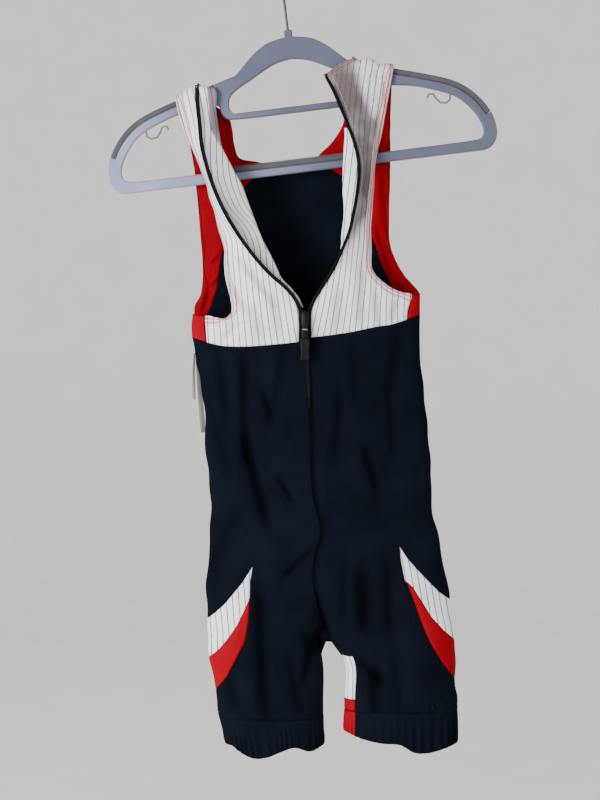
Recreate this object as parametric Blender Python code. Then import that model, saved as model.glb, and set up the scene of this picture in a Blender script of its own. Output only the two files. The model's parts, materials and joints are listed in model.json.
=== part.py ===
# A sleeveless one-piece race suit on a plastic hanger, seen from the front, with its front zip open
# to the chest. Lengths in the tables are millimetres. The origin is the point that the hanger's
# hook hangs from, x runs to the viewer's right, y away from the viewer, and "down" is minus z.
# Names end in _r for the wearer's right (minus x) and _l for the wearer's left (plus x).
import math

import bmesh
import bpy
import numpy as np
from mathutils.geometry import tessellate_polygon

WALL = 1.6  # thickness of every cloth piece
SEAM = 0.18  # each piece stops this short of a seam, so two pieces are 0.36 apart
ON_TOP = 0.35  # clearance of what lies on a panel
HANGER_THICK = 9.0
TILT = math.radians(7.0)  # the hanger's right end hangs higher
GRIP = 6.0  # depth of the soft strips along the hanger's top edges
WIRE = 3.0
HOOK_RADIUS = 22.0
GATHERS = 30  # gathers round each leg's elastic hem
GATHER_DEPTH = 1.1
CROTCH = 785.0
FORK_TOP = 690.0  # where the seat starts to part into two legs

# Sections of each half of the body and of its leg, from under the arm to the hem:
# down, x of the side, half the depth.
RIGHT_SECTIONS = (
    (404, -122.6, 22.0),
    (423, -125.1, 23.0),
    (440, -124.3, 24.0),
    (465, -118.6, 24.0),
    (502, -113.0, 24.0),
    (554, -108.8, 24.5),
    (600, -105.3, 25.0),
    (635, -103.6, 25.5),
    (657, -103.0, 26.0),
    (684, -105.2, 27.0),
    (712, -107.0, 28.0),
    (749, -107.7, 29.5),
    (780, -106.2, 31.0),
    (788, -105.3, 31.2),
    (803, -103.9, 31.5),
    (842, -97.7, 30.0),
    (869, -94.4, 28.0),
    (892, -88.0, 26.0),
    (918, -82.0, 25.0),
)
LEFT_SECTIONS = (
    (384, 138.4, 22.0),
    (404, 138.4, 22.5),
    (440, 138.0, 24.0),
    (478, 139.8, 24.0),
    (502, 142.5, 24.0),
    (554, 147.6, 24.5),
    (600, 150.9, 25.0),
    (635, 151.8, 25.5),
    (657, 156.8, 26.0),
    (684, 162.8, 27.0),
    (712, 168.4, 28.0),
    (749, 174.1, 29.5),
    (780, 177.2, 31.0),
    (788, 177.9, 31.2),
    (803, 178.4, 31.5),
    (842, 178.8, 30.0),
    (869, 181.0, 28.0),
    (892, 180.9, 26.0),
    (918, 181.0, 25.0),
)

# The centre line down to the crotch, then the inseam of each leg: down, x.
CENTRE = (
    (384, 5.0), (404, 6.0), (440, 7.4), (502, 10.3), (554, 12.5), (600, 13.4), (635, 18.6),
    (657, 24.6), (684, 17.9), (712, 15.2), (749, 22.5), (785, 33.0),
)
RIGHT_INSEAM = ((785, 25.0), (790, 21.6), (803, 25.3), (842, 27.0), (918, 27.0))
LEFT_INSEAM = ((785, 34.0), (792, 38.0), (803, 47.0), (842, 49.8), (918, 51.0))

# Columns of each half's front, as shares of the way from the centre to the side, at the chest,
# at the tip of the leg band and at the hem. The sixth column is the band's inner end.
RIGHT_COLUMNS = (
    (0.0, 0.0, 0.0),
    (0.03, 0.03, 0.03),
    (0.09, 0.10, 0.10),
    (0.26, 0.24, 0.24),
    (0.42, 0.40, 0.42),
    (0.59, 0.571, 0.61),
    (0.74, 0.73, 0.75),
    (0.87, 0.87, 0.88),
    (0.96, 0.96, 0.965),
    (1.0, 1.0, 1.0),
)
LEFT_COLUMNS = (
    (0.0, 0.0, 0.0),
    (0.025, 0.03, 0.03),
    (0.06, 0.09, 0.095),
    (0.24, 0.24, 0.24),
    (0.42, 0.42, 0.45),
    (0.60, 0.650, 0.685),
    (0.74, 0.76, 0.79),
    (0.878, 0.88, 0.90),
    (0.96, 0.965, 0.97),
    (1.0, 1.0, 1.0),
)

# Lines across the front: x, down. Chest is the seam between the white yoke and the black body.
CHEST = (
    (-125, 439), (-107, 445), (-84, 450), (-61, 450), (-42, 449), (-19, 447), (1, 445),
    (12, 441), (35, 437), (54, 435), (75, 429), (99, 426), (111, 423), (122, 419), (139, 413),
)
# The white band's top edge, the seam between white and red, and the red band's lower edge.
RIGHT_BAND = (
    ((-108, 761), (-96, 752), (-86, 743), (-76, 731), (-65, 718), (-54, 700)),
    ((-105, 806), (-92, 794), (-81.5, 781), (-72, 767), (-64, 751), (-57, 735)),
    ((-98, 843), (-85.5, 828), (-73.5, 807), (-64, 788), (-60, 764), (-57.5, 739)),
)
LEFT_BAND = (
    ((112, 675), (122.5, 691), (134.5, 705), (147.6, 718), (160, 730), (174, 740)),
    ((121.5, 717), (129, 724), (139, 740), (150.5, 758), (164, 773), (178, 785)),
    ((122, 721), (129, 740), (137, 763), (149, 788), (163, 811), (178, 829)),
)
# The same three lines at the side and at the inseam of the back of each leg.
RIGHT_BACK_BAND = ((761, 806, 843), (803, 848, 862))
LEFT_BACK_BAND = ((740, 785, 829), (803, 852, 858))
CENTRE_MARKS = (690, 742, CROTCH)  # where the centre front has the rows that the band's lines have
BELOW_SHARES = (0.22, 0.83)  # rows between the red band and the hem, as shares of that height
RIGHT_CUFF_TOP = 874.0
LEFT_CUFF_TOP = 866.0
RIGHT_HEM = (
    (-86, 905), (-75, 913), (-62, 918), (-45, 917), (-27, 911), (-9, 906), (12, 911), (27, 906),
)
LEFT_HEM = (
    (51, 890), (68, 896), (93, 901), (115, 903), (129, 911), (146, 912), (161, 909), (181, 903),
)

# The white front on the right: armhole edge, zip edge and the edge of the flap inside the zip.
# Each row runs across the strap: down, x, y of the armhole edge, then of the zip edge, how far the
# row arches up between them, and the flap.
RIGHT_YOKE = (
    (445, -107, -11, 446, -1.2, -24, 0, None, None, None),
    (430, -107.7, -11.3, 433, -1.0, -24.5, 0, None, None, None),
    (414.5, -108, -10.6, 419, -1.0, -25, -8.5, None, None, None),
    (416.5, -97.5, -14, 411, -1.4, -26, -8, None, None, None),
    (418, -87.8, -17, 403, -3.6, -27, -6.5, 406, 4.0, -26),
    (414, -80.4, -18, 394, -8.5, -28, -3, 398, 1.0, -26.5),
    (404, -77.9, -18, 382, -18.5, -30, 0, 385, -8.5, -27.5),
    (391, -80.5, -17, 371, -31.5, -33, 0, 374, -19.5, -28.5),
    (374, -85.2, -16, 361, -41.5, -36, 0, 363, -25.0, -28.5),
    (358, -86.4, -15, 349, -52.0, -39, 0, 351, -30.4, -29),
    (339, -87.1, -13, 334, -63.5, -42, 0, 337, -37.7, -29.5),
    (319, -92.3, -12, 317, -75.0, -44, 0, 318, -46.4, -30),
    (296, -98.6, -11, 295, -87.5, -45, 0, 295, -55.2, -30),
    (271, -106, -10, 268, -99.0, -44, 0, 271, -63.8, -29),
    (249, -113.3, -9.4, 246, -106.0, -40, 0, 248, -75.5, -27),
    (226, -123.1, -9, 224, -111.5, -33, 0, 226, -87.0, -23),
    (204, -132.2, -9, 198, -114.5, -24, 0, 204, -92.0, -18),
    (184, -138.6, -9, 172, -117.5, -14, 0, 180, -95.5, -12),
    (167, -142.4, -8, 151, -118.5, -9, 0, 153, -98.5, -9),
)
# Over the shoulder to its seam at the back: down and x at the armhole, at the zip's column, y.
RIGHT_SHOULDER = (
    (162.8, -143, 146, -117, 0),
    (166.5, -142.6, 151, -112, 8),
    (178, -141.6, 165, -106, 10.5),
)

# The white front on the left: armhole edge, zip edge, rise of the row's middle, and the facing.
LEFT_YOKE = (
    (418.5, 122, -12, 440, 12.6, -24, 0, None, None, None),
    (405, 124, -10, 430, 12.6, -24.5, 0, None, None, None),
    (390, 127.7, -8.7, 421, 12.6, -25, -3, None, None, None),
    (388, 117.4, -12, 412, 12.8, -26, -3, None, None, None),
    (383, 104.9, -15, 400, 16.2, -27, -2, None, None, None),
    (375, 93.5, -17, 388, 22.4, -28, 0, None, None, None),
    (367, 85.5, -17.5, 375, 30.5, -30, 0, None, None, None),
    (358, 81.9, -17, 360, 39.2, -32, 0, None, None, None),
    (341, 81.9, -14, 340, 48.2, -33, 0, 340, 45.4, -32),
    (318, 81.2, -14, 322, 55.5, -34, 0, 323, 46.7, -31),
    (292, 82.6, -14, 296, 61.5, -34, 0, 297, 49.4, -31),
    (263, 85.5, -14, 271, 65.5, -33, 0, 272, 47.9, -30),
    (234, 88.9, -14, 246, 67.0, -31, 0, 247, 48.4, -28),
    (212, 92.7, -12, 225, 63.5, -29, 0, 225, 49.6, -26),
    (192, 96.3, -10.5, 202, 56.0, -26, 1, 202, 50.2, -24),
    (169, 100.3, -9.5, 179, 47.0, -22, 2, None, None, None),
    (147, 104.3, -9, 158, 38.5, -17, 6, None, None, None),
    (130, 107.2, -8.6, 139, 29.0, -13, 15, None, None, None),
)
LEFT_SHOULDER = (
    (126, 107.6, 115.5, 60, 0),
    (130, 107.2, 119, 60, 8),
    (142, 106.8, 132, 59, 10.5),
)

# The foot of the upper back, across the whole width: x, down.
BACK_FOOT = ((-125, 439.2), (139, 412.8))
# The back above the chest: level, x of right armhole, of right seam, of left seam, of left armhole,
# depth. The level is "down" with the tilt of the shoulders taken off. Above the neck, at 234, the
# two inner columns are the neck edges of the red straps.
BACK_TILT = 0.1
BACK = (
    (426, -124.2, -122.2, 136.0, 138.0, 23.5),
    (412, -124.8, -114.0, 119.0, 138.4, 23.5),
    (400, -123.2, -107.0, 110.5, 138.2, 23.5),
    (388, -121.4, -101.5, 105.0, 129.0, 23.5),
    (378, -115.6, -98.0, 101.6, 121.0, 23.5),
    (362, -113.0, -95.0, 94.5, 111.8, 23),
    (340, -112.9, -92.0, 87.5, 104.6, 23),
    (310, -115.1, -83.0, 74.5, 103.4, 22.5),
    (282, -117.4, -73.5, 61.0, 103.8, 22),
    (258, -119.4, -64.0, 50.8, 104.2, 21),
    (231, -121.9, -45.0, 20.5, 104.4, 20),
)
RIGHT_BACK_STRAP = (
    (223, -123.4, -69.5, 20),
    (208, -126.4, -75.8, 19),
    (188, -130.4, -78.6, 17),
    (176, -134, -82, 14.5),
)
LEFT_BACK_STRAP = (
    (216, 104.4, 36, 19.5),
    (198, 104.6, 48.5, 18.5),
    (176, 105.4, 54, 16.5),
    (156, 106.2, 57.5, 13.5),
)

# Soft folds pressed into the black front: ends (x, down), half width and depth.
FOLDS = (
    (-52, 455, -38, 560, 13, 3.0),
    (-22, 470, -52, 640, 14, 2.2),
    (38, 470, 52, 620, 13, 2.0),
    (84, 450, 98, 640, 15, 2.2),
    (-84, 700, -40, 640, 12, 2.0),
    (-38, 730, -22, 862, 13, 2.4),
    (92, 690, 104, 862, 14, 2.4),
    (70, 760, 60, 860, 11, 1.8),
)

# The hanger's right half in its own upright frame: x from its middle, height.
HANGER_ARC = (
    (0, 101), (4.6, 101), (4.6, 93), (14, 91.8), (27, 88.6), (41, 80), (53.5, 68.5), (61, 60.5), (67, 56),
)
HANGER_ARM = (
    (92, 49.4), (114, 42.9), (139, 35.6), (163.6, 27.9), (183.5, 20.1), (199, 9), (212, -5.5), (219.5, -19),
)
HANGER_END = ((223.6, -32), (224.5, -43), (222.2, -53), (216.5, -60), (208, -62.6))
HANGER_UPPER_HOLE = (
    (0, 68.4), (16, 66), (27, 61.5), (40, 54.6), (52, 48), (64, 42.2), (73.5, 35.5), (77.4, 28),
    (77.4, 18), (73, 13.3),
)
HANGER_LOWER_HOLE = (
    (0, 6.3), (76, 6.3), (84, 9.6), (87.9, 16), (88.6, 27.5), (112, 24.2), (137, 20.8),
    (163.8, 11.5), (177.4, 5.6), (188, -1.6), (199, -14), (207.6, -29), (210, -41),
    (206.5, -48.4), (199, -51), (82.5, -51), (81, -54.2),
)
HANGER_MIDDLE = (-1.7, 186.6)  # world x and down of the hanger frame's zero
STRAP_HOOK = (
    (175.8, 5.35), (175.4, 0), (171, -3.4), (164, -2.6), (159.4, 3), (156.6, 8.6), (151.6, 8.8), (149.6, 4.4),
)


def rows(table):
    return np.array([[np.nan if value is None else value for value in row] for row in table], float)


def smooth(table, at):
    """A smooth curve through a table's rows: the other columns at the given first-column values."""
    table = rows(table)
    known, values = table[:, 0], table[:, 1:]
    slopes = np.gradient(values, known, axis=0)
    at = np.clip(np.asarray(at, float), known[0], known[-1])
    index = np.clip(np.searchsorted(known, at) - 1, 0, len(known) - 2)
    step = known[index + 1] - known[index]
    share = ((at - known[index]) / step)[..., None]
    step = step[..., None]
    cubed, squared = share**3, share**2
    return (
        (2 * cubed - 3 * squared + 1) * values[index]
        + (cubed - 2 * squared + share) * step * slopes[index]
        + (3 * squared - 2 * cubed) * values[index + 1]
        + (cubed - squared) * step * slopes[index + 1]
    )


def line_at(line, x):
    line = rows(line)
    return np.interp(x, line[:, 0], line[:, 1])


def material(name, colour, rough=0.8, metal=0.0):
    made = bpy.data.materials.new(name)
    made.use_nodes = True
    shader = made.node_tree.nodes["Principled BSDF"]
    shader.inputs["Base Color"].default_value = (*colour, 1)
    shader.inputs["Roughness"].default_value = rough
    shader.inputs["Metallic"].default_value = metal
    made.diffuse_color = (*colour, 1)
    return made


WHITE, BLACK, RED = (0.8, 0.8, 0.79), (0.006, 0.008, 0.014), (0.6, 0.012, 0.015)
ZIP_BLACK, SOFT_GREY = (0.01, 0.01, 0.012), (0.09, 0.095, 0.1)
LILAC, STEEL = (0.32, 0.35, 0.5), (0.6, 0.6, 0.6)


def solid(name, points, faces, colour, rough=0.8, metal=0.0):
    """One closed piece from points in millimetres, with its own material."""
    mesh = bpy.data.meshes.new(name)
    mesh.from_pydata([tuple(point) for point in np.asarray(points) * 0.001], [], faces)
    mesh.materials.append(material(name, colour, rough, metal))
    mesh.validate()
    made = bpy.data.objects.new(name, mesh)
    bpy.context.scene.collection.objects.link(made)
    if sum(tetrahedron(np.asarray(points), face) for face in faces) < 0:
        mesh.flip_normals()
    return made


def tetrahedron(points, face):
    corners = points[list(face)]
    return sum(
        np.dot(corners[0], np.cross(corners[i], corners[i + 1])) for i in range(1, len(corners) - 1)
    )


def unit(vectors):
    return vectors / np.maximum(np.linalg.norm(vectors, axis=-1, keepdims=True), 1e-9)


def grid_normals(points, outward):
    """Normals of a grid of points, turned to the side where `outward` points."""
    along = np.gradient(points, axis=0)
    across = np.gradient(points, axis=1)
    normals = unit(np.cross(along, across))
    turn = np.sign((normals * outward).sum(axis=-1).sum())
    return normals * turn


def cloth(name, points, normals, cells, colour, wall=WALL, lift=0.0, inset=SEAM):
    """Thickens the chosen cells of a grid inwards, each piece stopping short of its own outline."""
    n_columns = points.shape[1]
    quads = [
        (r * n_columns + c, r * n_columns + c + 1, (r + 1) * n_columns + c + 1, (r + 1) * n_columns + c)
        for r, c in cells
    ]
    flat, flat_normals = points.reshape(-1, 3), normals.reshape(-1, 3)
    edges = {}
    for quad in quads:
        for start, end in zip(quad, quad[1:] + quad[:1]):
            edges[(start, end)] = quad
    rim = [(start, end) for start, end in edges if (end, start) not in edges]
    inward = {}
    for start, end in rim:
        middle = flat[list(edges[(start, end)])].mean(axis=0)
        along = unit(flat[end] - flat[start])
        side = middle - flat[start]
        side = side - along * np.dot(side, along)
        for corner in (start, end):
            inward.setdefault(corner, []).append(unit(side))
    used = sorted({corner for quad in quads for corner in quad})
    index = {corner: place for place, corner in enumerate(used)}
    outer = np.array([flat[corner] + lift * flat_normals[corner] for corner in used])
    turned = np.array([flat_normals[corner] for corner in used])
    for corner, sides in inward.items():
        push = np.mean(sides, axis=0)
        size = np.dot(push, push)
        outer[index[corner]] += inset * push / max(size, 0.35)
    inner = outer - wall * turned
    count = len(used)
    faces = [tuple(index[corner] for corner in quad) for quad in quads]
    faces += [tuple(index[corner] + count for corner in reversed(quad)) for quad in quads]
    faces += [(index[end], index[start], index[start] + count, index[end] + count) for start, end in rim]
    return solid(name, np.vstack([outer, inner]), faces, colour)


def fork(down):
    """Minus a quarter turn in the legs and zero in the torso, with the sine of it for sections."""
    share = np.clip((down - FORK_TOP) / (CROTCH - FORK_TOP), 0, 1)
    return np.sin(-0.5 * np.pi * (share * share * (3 - 2 * share)))


def fold_depth(x, down):
    depth = np.zeros_like(x)
    for x0, d0, x1, d1, width, deep in FOLDS:
        length = math.hypot(x1 - x0, d1 - d0)
        along = ((x - x0) * (x1 - x0) + (down - d0) * (d1 - d0)) / length
        off = ((x - x0) * (d1 - d0) - (down - d0) * (x1 - x0)) / length
        ends = np.clip(np.minimum(along, length - along) / 40 + 0.5, 0, 1)
        depth += deep * ends * ends * (3 - 2 * ends) * np.exp(-((off / width) ** 2))
    return depth


def body_point(sections, share, down, back):
    """A point of the body's surface at a share of the way from centre or inseam to the side."""
    side, half = np.moveaxis(smooth(sections, down), -1, 0)
    inseam = RIGHT_INSEAM if sections is RIGHT_SECTIONS else LEFT_INSEAM
    inner = np.where(down < CROTCH - 0.01, smooth(CENTRE, down)[..., 0], smooth(inseam, down)[..., 0])
    start = fork(down)
    sine = start + (1 - start) * share
    x = inner + share * (side - inner)
    y = half * np.sqrt(np.clip(1 - sine * sine, 0, 1))
    if not back:
        y = -(y - fold_depth(x, down) * np.clip((0.93 - share) * 6, 0, 1) * np.clip(share * 9, 0, 1))
    return np.stack([x, y, -down], axis=-1)


def column_share(column, down):
    return np.interp(down, (440, 700, 745, 900), (column[0], column[1], column[2], column[2]))


def down_on_line(sections, column, line):
    down = 600.0
    for _ in range(30):
        share = column_share(column, down)
        x = body_point(sections, np.float64(share), np.float64(down), False)[0]
        down = 0.5 * down + 0.5 * float(line_at(line, x))
    return down


TIP_COLUMN = 5
ROWS_TO_BAND, ROWS_WHITE, ROWS_RED = 17, 2, 2


def half_grid(sections, columns, band, back_band, cuff_top):
    """The body's points for one half: front columns from the centre to the side, then the back's."""
    lines = []
    for place, column in enumerate(columns):
        tip = columns[max(place, TIP_COLUMN)]
        top = down_on_line(sections, column, CHEST)
        marks = [down_on_line(sections, tip, line) for line in band]
        if place < TIP_COLUMN:
            along = max(0, place - 2) / (TIP_COLUMN - 2)
            marks = [c + (m - c) * along for c, m in zip(CENTRE_MARKS, marks)]
        lines.append([top, *marks, cuff_top])
    backs = []
    for column in reversed(columns[:-1]):
        share = column[1] ** 0.8
        side, inner = back_band
        marks = [inner[i] + (side[i] - inner[i]) * share for i in range(3)]
        top = down_on_line(sections, column, BACK_FOOT)
        backs.append([top, *marks, cuff_top])
    points = []
    for place, marks in enumerate(lines + backs):
        below = [marks[3] + (marks[4] - marks[3]) * share for share in BELOW_SHARES]
        known = [*marks[:4], *below, marks[4]]
        row_of = np.cumsum([0, ROWS_TO_BAND, ROWS_WHITE, ROWS_RED, 1, 1, 1])
        down = np.interp(np.arange(row_of[-1] + 1), row_of, known)
        back = place >= len(columns)
        column = columns[2 * len(columns) - 2 - place] if back else columns[place]
        points.append(body_point(sections, column_share(column, down), down, back))
    points = np.array(points).transpose(1, 0, 2)
    middle = points.mean(axis=1, keepdims=True)
    normals = grid_normals(points, points - middle)
    joined = np.array([1.0 if sections is RIGHT_SECTIONS else -1.0, 0.0, 0.0])
    straight = np.array([0.0, 1.0, 0.0])
    for column, way in ((0, -1), (-1, 1)):
        closed = np.clip((-points[:, column, 2] - CROTCH + 60) / 35, 0, 1)[:, None]
        apart = unit(normals[:, column] + 3 * way * straight)
        normals[:, column] = unit(apart * (1 - closed) + joined * closed)
    return points, normals


def body_half(tag, sections, columns, band, back_band, cuff_top, wrap):
    """The black front and back and the two bands of one half, cut from one grid."""
    points, normals = half_grid(sections, columns, band, back_band, cuff_top)
    n_rows, n_columns = points.shape[0] - 1, points.shape[1] - 1
    front = len(columns) - 1
    white_rows = range(ROWS_TO_BAND, ROWS_TO_BAND + ROWS_WHITE)
    red_rows = range(ROWS_TO_BAND + ROWS_WHITE, ROWS_TO_BAND + ROWS_WHITE + ROWS_RED)
    pieces = {"front_body": [], "back_body": [], "back_leg": [], "band_white": [], "band_red": []}
    if wrap:
        pieces.update(inseam_white=[], inseam_red=[])
    for r in range(n_rows):
        for c in range(n_columns):
            banded = c >= TIP_COLUMN
            if banded and r in white_rows:
                pieces["band_white"].append((r, c))
            elif banded and r in red_rows:
                pieces["band_red"].append((r, c))
            elif wrap and c < 2 and r >= n_rows - 2:
                pieces["inseam_white" if r == n_rows - 2 else "inseam_red"].append((r, c))
            elif c < front:
                pieces["front_body"].append((r, c))
            elif r < ROWS_TO_BAND:
                pieces["back_body"].append((r, c))
            else:
                pieces["back_leg"].append((r, c))
    colours = {"band_white": WHITE, "band_red": RED, "inseam_white": WHITE, "inseam_red": RED}
    for kind, cells in pieces.items():
        cloth(f"{kind}_{tag}", points, normals, cells, colours.get(kind, BLACK))
    return points, normals


def cuff(tag, sections, cuff_top, hem):
    """The gathered hem of one leg: a closed tube whose wall waves in and out."""
    count = 2 * GATHERS
    angle = np.arange(count) * 2 * np.pi / count
    levels = (0.0, 0.3, 0.62, 0.9, 1.0)
    waves = (0.0, 0.7, 1.0, 1.0, 0.6)
    shares = (1 - np.cos(angle)) / 2
    is_back = angle > np.pi
    outer, inner = [], []
    for level, wave in zip(levels, waves):
        flat = body_point(sections, shares, np.full(count, cuff_top), False)
        low = line_at(hem, flat[:, 0])
        down = cuff_top + 0.34 + (low - cuff_top - 0.34) * level
        front = body_point(sections, shares, down, False)
        back = body_point(sections, shares, down, True)
        ring = np.where(is_back[:, None], back, front)
        middle = ring.mean(axis=0)
        out = ring - middle
        out[:, 2] = 0
        ahead, behind = np.roll(ring, -1, axis=0), np.roll(ring, 1, axis=0)
        normal = np.cross(ahead - behind, (0, 0, 1))
        normal = unit(normal * np.sign((normal * out).sum(axis=1))[:, None])
        shift = GATHER_DEPTH * wave * np.where(np.arange(count) % 2, -0.5, 0.5) - 0.1
        outer.append(ring + normal * shift[:, None])
        inner.append(ring + normal * (shift[:, None] - WALL))
    shells = [np.array(outer), np.array(inner)]
    points = np.vstack([shell.reshape(-1, 3) for shell in shells])
    n_levels, size = len(levels), len(levels) * count
    faces = []
    for level in range(n_levels - 1):
        for i in range(count):
            a, b = level * count + i, level * count + (i + 1) % count
            faces.append((a, b, b + count, a + count))
            faces.append((b + size, a + size, a + size + count, b + size + count))
    for i in range(count):
        a, b = i, (i + 1) % count
        faces.append((b, a, a + size, b + size))
        a, b = (n_levels - 1) * count + i, (n_levels - 1) * count + (i + 1) % count
        faces.append((a, b, b + size, a + size))
    return solid(f"cuff_{tag}", points, faces, BLACK)


def yoke_columns(columns, first, last):
    """Shares of the way from the armhole to the zip that meet the body's own columns at the chest."""
    chosen = [column[0] for column in columns[first : last + 1]]
    return [(chosen[-1] - share) / (chosen[-1] - chosen[0]) for share in reversed(chosen)]


def yoke(tag, table, shoulder, body, columns, extra):
    """The white front of one side, with the flap or facing inside its zip edge."""
    across = yoke_columns(columns, 2, 7)
    body_points, body_normals = body
    seam_points, seam_normals = body_points[0, 2:8][::-1], body_normals[0, 2:8][::-1]
    table = rows(table)
    foot = seam_points.copy()
    foot[-1] += (table[0, 4] - foot[-1, 0], 0, 0.8)
    points = [foot]
    rise = table[:, 6]
    flap = table[:, -3:]
    for r in range(1, len(table)):
        down_a, x_a, y_a, down_z, x_z, y_z = table[r, :6]
        share = np.array(across)
        bulge = 3.0 * 4 * share * (1 - share) * min(1.0, (x_a - x_z) ** 2 / 2500)
        lift = rise[r] * np.sin(np.pi * np.clip(share, 0, 1) ** (1.15 if rise[r] > 0 else 0.55))
        points.append(
            np.stack(
                [
                    x_a + (x_z - x_a) * share,
                    y_a + (y_z - y_a) * share - bulge,
                    -(down_a + (down_z - down_a) * share - lift),
                ],
                axis=-1,
            )
        )
    last = points[-1]
    stop = 6 if tag == "r" else 4
    for down_a, x_a, down_z, x_z, y in shoulder:
        share = np.array(across) / across[stop - 1]
        row = np.stack(
            [
                x_a + (x_z - x_a) * share,
                np.full(6, float(y)),
                -(down_a + (down_z - down_a) * share),
            ],
            axis=-1,
        )
        if tag == "l":
            row[stop:] = last[stop:] + (row[stop - 1] - last[stop - 1])
        points.append(row)
    points = np.array(points)
    n_yoke = len(table)
    # The flap's columns go on from the zip edge.
    inner = []
    for r in range(len(points)):
        zip_edge = points[r, -1]
        if r < n_yoke and not np.isnan(flap[r, 0]):
            goal = np.array([flap[r, 1], flap[r, 2], -flap[r, 0]])
        else:
            goal = zip_edge + (zip_edge - points[r, -2]) * 0.4
        inner.append([zip_edge + (goal - zip_edge) * 0.5, goal])
    whole = np.concatenate([points, np.array(inner)], axis=1)
    outward = np.zeros_like(whole)
    outward[:n_yoke, :, 1] = -1
    normals = grid_normals(whole, outward)
    normals[0, :6] = seam_normals
    normals[1, 0] = normals[2, 0] = seam_normals[0]
    normals[-1] = (0.0, 1.0, 0.0)
    if tag == "l":
        normals[n_yoke - 1, 4:] = normals[n_yoke - 2, 4:]
    cells = [(r, c) for r in range(n_yoke - 1) for c in range(5)]
    cells += [(r, c) for r in range(n_yoke - 1, len(points) - 1) for c in range(stop - 1)]
    cloth(f"front_yoke_{tag}", whole, normals, cells, WHITE)
    has_flap = [r for r in range(n_yoke - 1) if not np.isnan(flap[r : r + 2, 0]).any()]
    cloth(extra, whole, normals, [(r, c) for r in has_flap for c in (5, 6)], WHITE)
    return whole, normals


def ribbon(name, path, normals, width, thick, colour, lift=ON_TOP, rough=0.5):
    """A flat strip along a path of points, lying just outside the surface the normals belong to."""
    path, normals = np.asarray(path, float), unit(np.asarray(normals, float))
    along = unit(np.gradient(path, axis=0))
    side = unit(np.cross(along, normals))
    width = np.broadcast_to(width, len(path))[:, None]
    base = path + normals * lift
    corners = [
        base + side * width / 2,
        base - side * width / 2,
        base - side * width / 2 + normals * thick,
        base + side * width / 2 + normals * thick,
    ]
    points = np.array(corners).transpose(1, 0, 2).reshape(-1, 3)
    faces = [(0, 1, 2, 3), tuple(len(points) - 4 + k for k in (3, 2, 1, 0))]
    for r in range(len(path) - 1):
        for k in range(4):
            a, b = r * 4 + k, r * 4 + (k + 1) % 4
            faces.append((a, a + 4, b + 4, b))
    return solid(name, points, faces, colour, rough)


def prism(name, outline, holes, depth, colour, chamfer=1.0, rough=0.4, place=None):
    """A flat plate with rounded edges from one outline and its holes, given in x and height."""
    loops = [np.array(outline, float)] + [np.array(hole, float) for hole in holes]
    insets = []
    for loop in loops:
        ahead, behind = unit(np.roll(loop, -1, 0) - loop), unit(loop - np.roll(loop, 1, 0))
        turn = np.array([[0, 1], [-1, 0]])
        normal = unit(ahead @ turn + behind @ turn)
        stretch = np.maximum((normal * (ahead @ turn)).sum(1), 0.5)[:, None]
        x, z = loop[:, 0], loop[:, 1]
        area = (x * np.roll(z, -1) - np.roll(x, -1) * z).sum()
        grow = -1 if loop is loops[0] else 1
        insets.append(loop + grow * np.sign(area) * -normal * chamfer / stretch)
    layers = [
        (-depth / 2, insets),
        (-depth / 2 + chamfer, loops),
        (depth / 2 - chamfer, loops),
        (depth / 2, insets),
    ]
    points, faces = [], []
    total = sum(len(loop) for loop in loops)
    for y, shapes in layers:
        for shape in shapes:
            points += [(x, y, z) for x, z in shape]
    start = 0
    for loop in loops:
        count = len(loop)
        for layer in range(3):
            for i in range(count):
                a = layer * total + start + i
                b = layer * total + start + (i + 1) % count
                faces.append((a, b, b + total, a + total))
        start += count
    flat = [[(x, z, 0.0) for x, z in shape] for shape in insets]
    caps = tessellate_polygon(flat)
    faces += [tuple(cap) for cap in caps]
    faces += [tuple(corner + 3 * total for corner in reversed(cap)) for cap in caps]
    points = np.array(points, float)
    if place is not None:
        points = place(points)
    made = solid(name, points, faces, colour, rough)
    turn_out(made)
    return made


def turn_out(made):
    work = bmesh.new()
    work.from_mesh(made.data)
    bmesh.ops.recalc_face_normals(work, faces=work.faces)
    if work.calc_volume(signed=True) < 0:
        bmesh.ops.reverse_faces(work, faces=work.faces)
    work.to_mesh(made.data)
    work.free()


def tube(name, path, radius, colour, rough=0.3, metal=0.0, sides=8, place=None):
    """A round wire along a path that stays in one plane facing the viewer."""
    path = np.asarray(path, float)
    along = unit(np.gradient(path, axis=0))
    depth = np.array([0.0, 1.0, 0.0])
    across = unit(np.cross(along, depth))
    points, faces = [], []
    for centre, right in zip(path, across):
        for k in range(sides):
            angle = 2 * math.pi * k / sides
            points.append(centre + radius * (math.cos(angle) * right + math.sin(angle) * depth))
    for r in range(len(path) - 1):
        for k in range(sides):
            a, b = r * sides + k, r * sides + (k + 1) % sides
            faces.append((a, b, b + sides, a + sides))
    faces += [tuple(range(sides))[::-1], tuple(range((len(path) - 1) * sides, len(path) * sides))]
    points = np.array(points)
    if place is not None:
        points = place(points)
    made = solid(name, points, faces, colour, rough, metal)
    turn_out(made)
    return made


def on_hanger(points):
    """From the hanger's own upright frame to the world: tilted, about its middle."""
    x, y, z = points.T
    return np.stack(
        [
            HANGER_MIDDLE[0] + x * math.cos(TILT) - z * math.sin(TILT),
            y,
            -HANGER_MIDDLE[1] + x * math.sin(TILT) + z * math.cos(TILT),
        ],
        axis=-1,
    )


def soften(points, rounds=2):
    """Cuts each inner corner of a line twice over, so that a short table draws a smooth curve."""
    points = np.array(points, float)
    for _ in range(rounds):
        before, after = points[:-1], points[1:]
        cut = np.stack([0.75 * before + 0.25 * after, 0.25 * before + 0.75 * after], axis=1)
        points = np.vstack([points[:1], cut.reshape(-1, 2), points[-1:]])
    return points


def mirrored(half):
    half = [tuple(point) for point in half]
    return half + [(-x, z) for x, z in reversed(half) if x > 0.01]


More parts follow.
